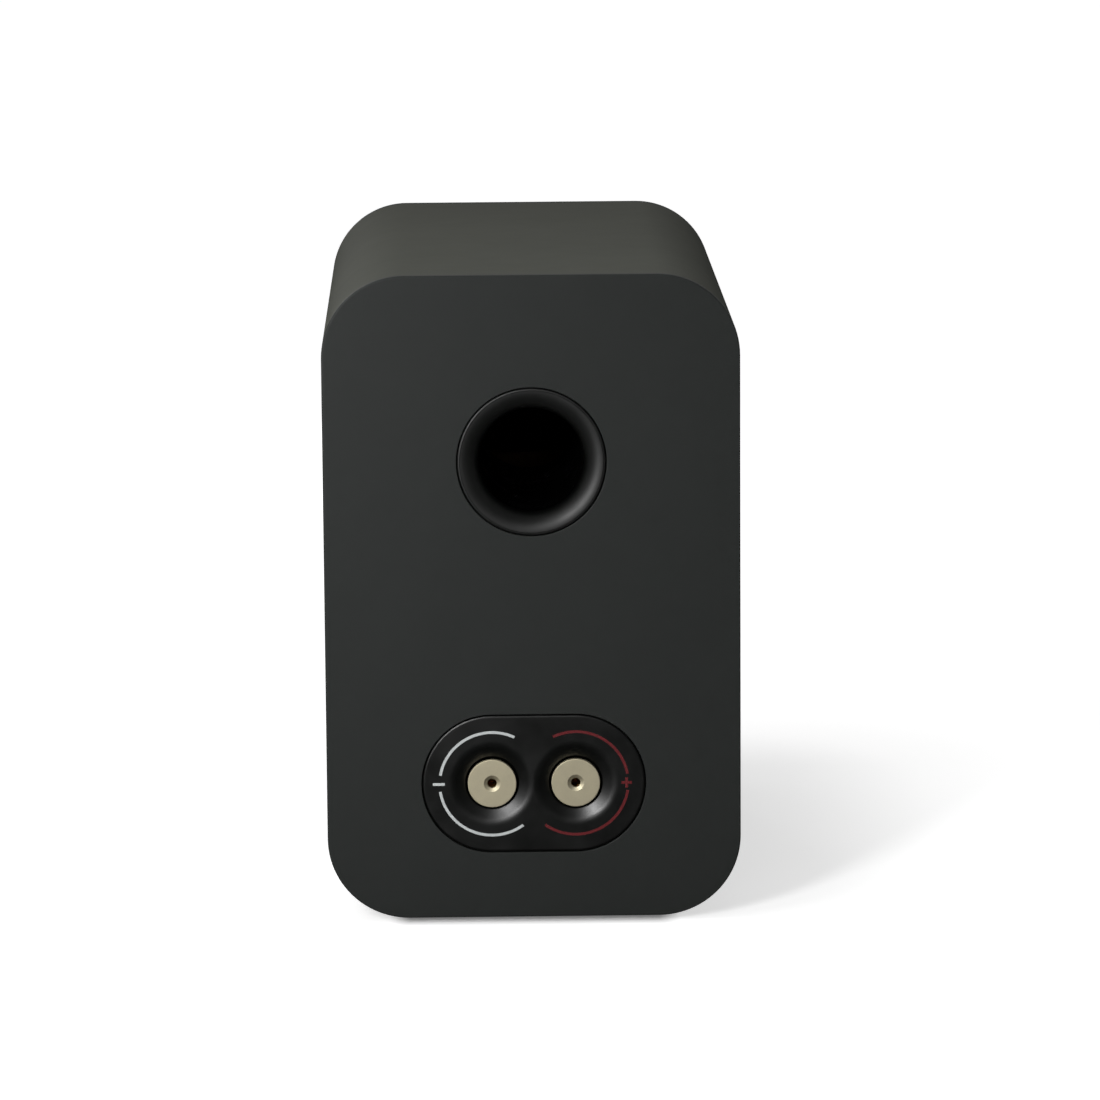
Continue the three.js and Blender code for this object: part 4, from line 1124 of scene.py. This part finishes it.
def make_trim(name, node, centre, inner):
    """A bevelled ring that hides a driver's flange, turned with eased edges."""
    outer = reach(node)
    proud = baffle_face - low(node).y
    bevel = proud / 2
    corners = [
        (inner, -glue_gap),
        (inner, -bevel),
        (inner + 2 * bevel, -proud),
        (outer - bevel, -proud),
        (outer, -bevel),
        (outer, -glue_gap),
    ]
    profile = eased(corners, [0, 0.4 * mm, 0.6 * mm, 0.5 * mm, 0.3 * mm, 0], closed=True)
    turned_piece(name, node, profile, centre, 256, from_front, "satin_trim", sharp=50)


def cone_line(count):
    """[radius, depth] from the cone's middle to its rim: rim depth plus the bowl's depth less a power."""
    radius = np.linspace(0, reach("woofer_cone"), count)
    share = radius / reach("woofer_cone")
    return np.stack([radius, cone_rim_depth + cone_depth * (1 - share**cone_curve)], axis=1)


def make_cone():
    """The cone: its line turned, and the same line its thickness further in."""
    front = cone_line(64)
    profile = np.concatenate([front, (front + [0, cone_thickness])[::-1]])
    home = (woofer_axis, 192, from_front)
    turned_piece("cone", "woofer_cone", profile, *home, "cone_paper", "woofer_piston", looped=False)


def half_roll(inner, width, height, inner_level, outer_level, count):
    """[radius, depth] over a half roll: the radius is eased by a cosine, and a sine rises from its slope."""
    share = np.linspace(0, 1, count)
    radius = inner + width * (1 - np.cos(math.pi * share)) / 2
    level = inner_level + (outer_level - inner_level) * share - height * np.sin(math.pi * share)
    return np.stack([radius, level], axis=1)


def make_membrane(name, node, line, thickness, sectors, finish):
    """A round membrane in sectors, each turned about its driver's axis, put on no body and with its transform
    baked in.
    """
    driver = node.split("_")[0]
    centre = driver_axes[driver]
    profile = thickened(line, thickness)
    count = len(line)
    for i in range(sectors):
        grid = turned(profile, centre, np.linspace(i, i + 1, 13) * turn / sectors, *from_front)
        ends = [(np.stack([grid[:count, k], grid[: count - 1 : -1, k]]), False, False) for k in (0, -1)]
        mesh = mesh_of(f"{node}_{i + 1}", (grid, True, False), *ends, sharp=60)
        made = piece(f"{name}_{i + 1}", mesh, finish, None, [node], centre)
        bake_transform(made)


def make_woofer_surround():
    """A half roll between the lip on the cone and the lip on the basket."""
    rim = reach("woofer_cone")
    level = cone_rim_depth - glue_gap - surround_thickness
    roll = half_roll(rim + roll_gap, roll_width, roll_height, level, roll_seat, 33)
    lips = [[(rim - surround_lip / 2, level)], roll, [(reach("woofer_surround"), roll_seat)]]
    line = np.concatenate(lips)
    make_membrane("surround", "woofer_surround", line, surround_thickness, 16, "surround_rubber")


def make_spider():
    """The corrugated cloth disc: three full sine waves between flat lips of 2 and 4 mm."""
    inner = spider_inside
    outer = reach("woofer_spider")
    level = middle("woofer_spider").y - baffle_face
    share = np.linspace(0, 1, 73)
    radius = inner + 2 * mm + (outer - inner - 6 * mm) * share
    wave = level - spider_wave * np.sin(3 * turn * share)
    line = np.concatenate([[(inner, level)], np.stack([radius, wave], axis=1), [(outer, level)]])
    make_membrane("spider", "woofer_spider", line, spider_thickness, 12, "spider_cloth")


def make_faceplate():
    """The tweeter's face, turned: a quarter ellipse for its short horn, and the plate's eased edges."""
    outer = reach("tweeter_faceplate")
    horn = flare(horn_mouth, horn_throat, faceplate_thickness, 20)
    corners = [(horn_throat, faceplate_thickness), (outer, faceplate_thickness), (outer, 0), (horn_mouth, 0)]
    outside = eased(corners, [0, 0.2 * mm, 0.3 * mm, 0])
    profile = np.concatenate([horn, outside[1:-1]])
    turned_piece("horn_plate", "tweeter_faceplate", profile, tweeter_axis, 160, from_front, "grey_plastic")


def make_dome():
    """The dome: a cap of a sphere, with its thickness inwards."""
    radius = reach("tweeter_dome")
    sphere = (radius**2 + dome_height**2) / (2 * dome_height)
    crown = low("tweeter_dome").y - baffle_face
    angle = np.linspace(0, math.asin(radius / sphere), 33)
    line = np.stack([sphere * np.sin(angle), crown + sphere * (1 - np.cos(angle))], axis=1)
    inside = line * [(sphere - dome_thickness) / sphere, 1] + [0, dome_thickness]
    profile = np.concatenate([line, inside[::-1]])
    home = (tweeter_axis, 128, from_front)
    turned_piece("dome", "tweeter_dome", profile, *home, "silk", "tweeter_piston", looped=False)


def make_dome_surround():
    """A small half roll, and a flat lip out to the horn's throat."""
    inner = reach("tweeter_dome") + dome_gap
    level = faceplate_thickness - glue_gap - dome_surround_thickness
    roll = half_roll(inner, dome_roll_width, dome_roll_height, level, level, 25)
    line = np.concatenate([roll, [(horn_throat - dome_gap, level)]])
    make_membrane("dome_surround", "tweeter_surround", line, dome_surround_thickness, 12, "silk")


# ---------------------------------------------------------------- seals


def seal_section(near_edge, far_edge, thickness):
    """The section of a pressed seal: a flat band with its corners rounded off."""
    return ring_section(near_edge, far_edge, 0, thickness, 0.45 * thickness)


def make_round_seal(name, node, centre, inner, finish):
    """A seal's section turned about a driver's axis."""
    section = seal_section(inner, reach(node), front_to_back(node))
    grid = turned(section, centre, round_once(160), low(node).y)
    return piece(name, mesh_of(node, (grid, True, True)), finish, stands_for=[node])


def make_seals():
    """The soft rings under the drivers' flanges, and the band under the tray's."""
    inner = woofer_cutout + hole_gap
    woofer_seal = make_round_seal("woofer_seal", "woofer_gasket", woofer_axis, inner, "foam")
    inner = tweeter_cutout + hole_gap
    make_round_seal("isolation_ring", "tweeter_isolation_ring", tweeter_axis, inner, "foot_rubber")
    node = "terminal_gasket"
    grid = carried(seal_section(0, seal_width, front_to_back(node)), tray_edge, low(node).y, 1)
    tray_seal = piece("tray_seal", mesh_of(node, (grid, True, True)), "foam", stands_for=[node])


# ---------------------------------------------------------------- making everything


def dress_frame():
    """Gives every CAD node the finish of its slot. The brass ones are stamped: they have no turning marks."""
    for row in frame["record"]["subparts"]:
        slots = frame["nodes"][row["node"]].material_slots
        finish = "stamped_brass" if row["material_slot"] == "brass" else row["material_slot"]
        for slot in slots:
            slot.material = finishes[finish]


def make_loudspeaker():
    """Every piece, from the cabinet inwards."""
    dress_frame()
    make_wrap()
    make_rear_panel()
    make_front_baffle()
    make_feet()
    make_foam()
    make_port()
    make_tray()
    for name in ("negative", "positive"):
        make_cap(name)
        make_grip(name)
        make_washer(name)
        make_stud(name)
    make_print()
    make_trim("woofer_trim", "woofer_trim_ring", woofer_axis, reach("woofer_surround") - surround_lip / 2)
    make_trim("tweeter_trim", "tweeter_trim_ring", tweeter_axis, horn_mouth + 2 * mm)
    make_cone()
    make_woofer_surround()
    make_spider()
    make_faceplate()
    make_dome()
    make_dome_surround()
    make_seals()


make_loudspeaker()

# ---------------------------------------------------------------- studio


view_angles = (178.975, 10.001, -0.411)  # azimuth from the front, elevation and roll, in degrees
view_target = Vector((-0.0102, 0.0013, 0.1398))
view_distance = 2.5628
lens_length = 183.54  # for a sensor 36 wide, both in millimetres


def make_camera():
    """A long lens from behind, a little above and turned slightly."""
    azimuth, elevation, roll = np.radians(view_angles)
    sideways = Matrix.Rotation(azimuth, 4, "Z")
    upward = Matrix.Rotation(quarter - elevation, 4, "X")
    leant = Matrix.Rotation(roll, 4, "Z")
    data = bpy.data.cameras.new("camera")
    data.lens = lens_length
    data.sensor_width = 36
    data.clip_end = 200
    camera = new_object("camera", data)
    back = Matrix.Translation((0, 0, view_distance))
    camera.matrix_world = Matrix.Translation(view_target) @ sideways @ upward @ leant @ back
    bpy.context.scene.camera = camera


def seen_directly(tree, place, start, end):
    """1 for rays from the camera, and for reflected and refracted ones too where they see the white sweep.

    The sweep lies in front of the loudspeaker. Along +Y, from start to end, reflections see less and less of
    it, because the dim room takes over.
    """
    rays = add(tree, "ShaderNodeLightPath").outputs
    mirrored = sum_of(tree, "MAXIMUM", rays["Is Glossy Ray"], rays["Is Transmission Ray"])
    rearward = parts_of(tree, place)["Y"]
    level = mapped(tree, rearward, start, end, 1.0, 0.0)
    return sum_of(tree, "MAXIMUM", rays["Is Camera Ray"], sum_of(tree, "MULTIPLY", mirrored, level))


def beyond_footprint(tree, place):
    """How far a point of the floor lies outside the cabinet's underside, which narrows towards the rear.

    At the rear it is only the flat part between the rounded edges, so that the painted contact shadow stops
    short of them, as if the key light reached under them.
    """
    parts = parts_of(tree, place)
    flat = half_width - corner_radius
    across = mapped(tree, parts["Y"], rear_face - 0.12, rear_face - 0.05, flat + corner_radius / 2, flat)
    sides = []
    for axis, half in (("X", across), ("Y", rear_face)):
        outside = sum_of(tree, "SUBTRACT", sum_of(tree, "ABSOLUTE", parts[axis]), half)
        sides.append(sum_of(tree, "MAXIMUM", outside, 0.0))
    return length_of(tree, add(tree, "ShaderNodeCombineXYZ", dict(enumerate(sides))).outputs[0])


def floor_glow_and_painted_shadow(tree, place, rearward):
    """How strongly the floor glows by itself: least under the cabinet, which paints a contact shadow there,
    and more in three rises beyond it.
    """
    outside = beyond_footprint(tree, place)
    away = length_of(tree, place)
    rises = (
        (outside, 0.03, 0.12, 0.1),  # past the core of the cabinet's shadow, which paints that shadow's fade
        (away, 0.3, 0.9, 0.16),  # towards the white of the background
        (rearward, rear_face, rear_face + 0.03, 0.25),  # behind the rear panel
    )
    # painted contact shadow: the glow is least under the cabinet, and rises over 9 mm beyond its edge
    level = mapped(tree, outside, 0.0, 0.009, 0.18, 0.625)
    for value, start, end, most in rises:
        level = sum_of(tree, "ADD", level, mapped(tree, value, start, end, 0.0, most))
    return level


def make_floor():
    """A pale floor that looks white where it is lit, and keeps the object's shadow: the lamps cast it, and
    the lowered glow round the cabinet adds painted shadow.
    """
    size = 60  # to each side, in metres, so that no edge shows
    mesh = bpy.data.meshes.new("floor")
    corners = [(-size, -size, 0), (size, -size, 0), (size, size, 0), (-size, size, 0)]
    mesh.from_pydata(corners, [], [(0, 1, 2, 3)])
    floor = new_object("floor", mesh)
    material = bpy.data.materials.new("Pale floor")
    material.use_nodes = True
    tree = material.node_tree
    tree.nodes.clear()
    matt = add(tree, "ShaderNodeBsdfDiffuse", {"Color": (0.8, 0.8, 0.8, 1)})
    place = add(tree, "ShaderNodeTexCoord").outputs["Object"]
    rearward = parts_of(tree, place)["Y"]
    shown = seen_directly(tree, place, -0.1, 0.15)
    strength = sum_of(tree, "MULTIPLY", shown, floor_glow_and_painted_shadow(tree, place, rearward))
    glow = add(tree, "ShaderNodeEmission", {"Strength": strength})
    lit = add(tree, "ShaderNodeAddShader", {0: matt.outputs[0], 1: glow.outputs[0]})
    room = add(tree, "ShaderNodeEmission", {"Strength": 0.03})
    glossy = add(tree, "ShaderNodeLightPath").outputs["Is Glossy Ray"]
    in_room = sum_of(tree, "MULTIPLY", mapped(tree, rearward, -0.1, 0.15, 0.0, 1.0), glossy)
    both = add(tree, "ShaderNodeMixShader", {0: in_room, 1: lit.outputs[0], 2: room.outputs[0]})
    add(tree, "ShaderNodeOutputMaterial", {"Surface": both.outputs[0]})
    mesh.materials.append(material)


def make_world():
    """White where the camera sees it, and otherwise a dim fill that is stronger from the front."""
    world = bpy.data.worlds.new("studio")
    world.use_nodes = True
    tree = world.node_tree
    place = add(tree, "ShaderNodeTexCoord").outputs["Generated"]
    rearward = parts_of(tree, place)["Y"]
    fill = mapped(tree, rearward, -0.1, 0.3, 0.25, 0.06)
    strength = sum_of(tree, "MAXIMUM", seen_directly(tree, place, -0.1, 0.2), fill)
    tree.nodes["Background"].inputs["Color"].default_value = (1, 1, 1, 1)
    tree.links.new(strength, tree.nodes["Background"].inputs["Strength"])
    bpy.context.scene.world = world


def make_lamp(name, watts, place, target, width, height=None):
    """A soft lamp that faces a target: a disc, or a rectangle if it has a height too."""
    data = bpy.data.lights.new(name, "AREA")
    data.energy = watts
    data.shape = "RECTANGLE" if height else "DISK"
    data.size = width
    if height:
        data.size_y = height
    lamp = new_object(name, data)
    lamp.location = place
    lamp.rotation_euler = (Vector(target) - Vector(place)).to_track_quat("-Z", "Y").to_euler()
    return lamp


def make_studio():
    """The camera, the floor, the world and four soft lamps."""
    make_camera()
    make_floor()
    make_world()
    make_lamp("key", 5.6, (0.33, 0.86, 0.38), (0, 0.14, 0.15), 0.13, 0.34)
    make_lamp("upper", 0.9, (0.42, 0.6, 0.65), (0, 0.14, 0.22), 0.2, 0.4)
    top_lamp = make_lamp("top", 3.1, (0.22, 0.15, 1.05), (0, 0.1, 0.2), 0.4)
    top_lamp.visible_glossy = False
    make_lamp("front", 1.2, (0.27, -1.3, 0.3), (0, 0, 0.2), 0.25)
    bpy.context.scene.view_settings.view_transform = "Standard"


make_studio()
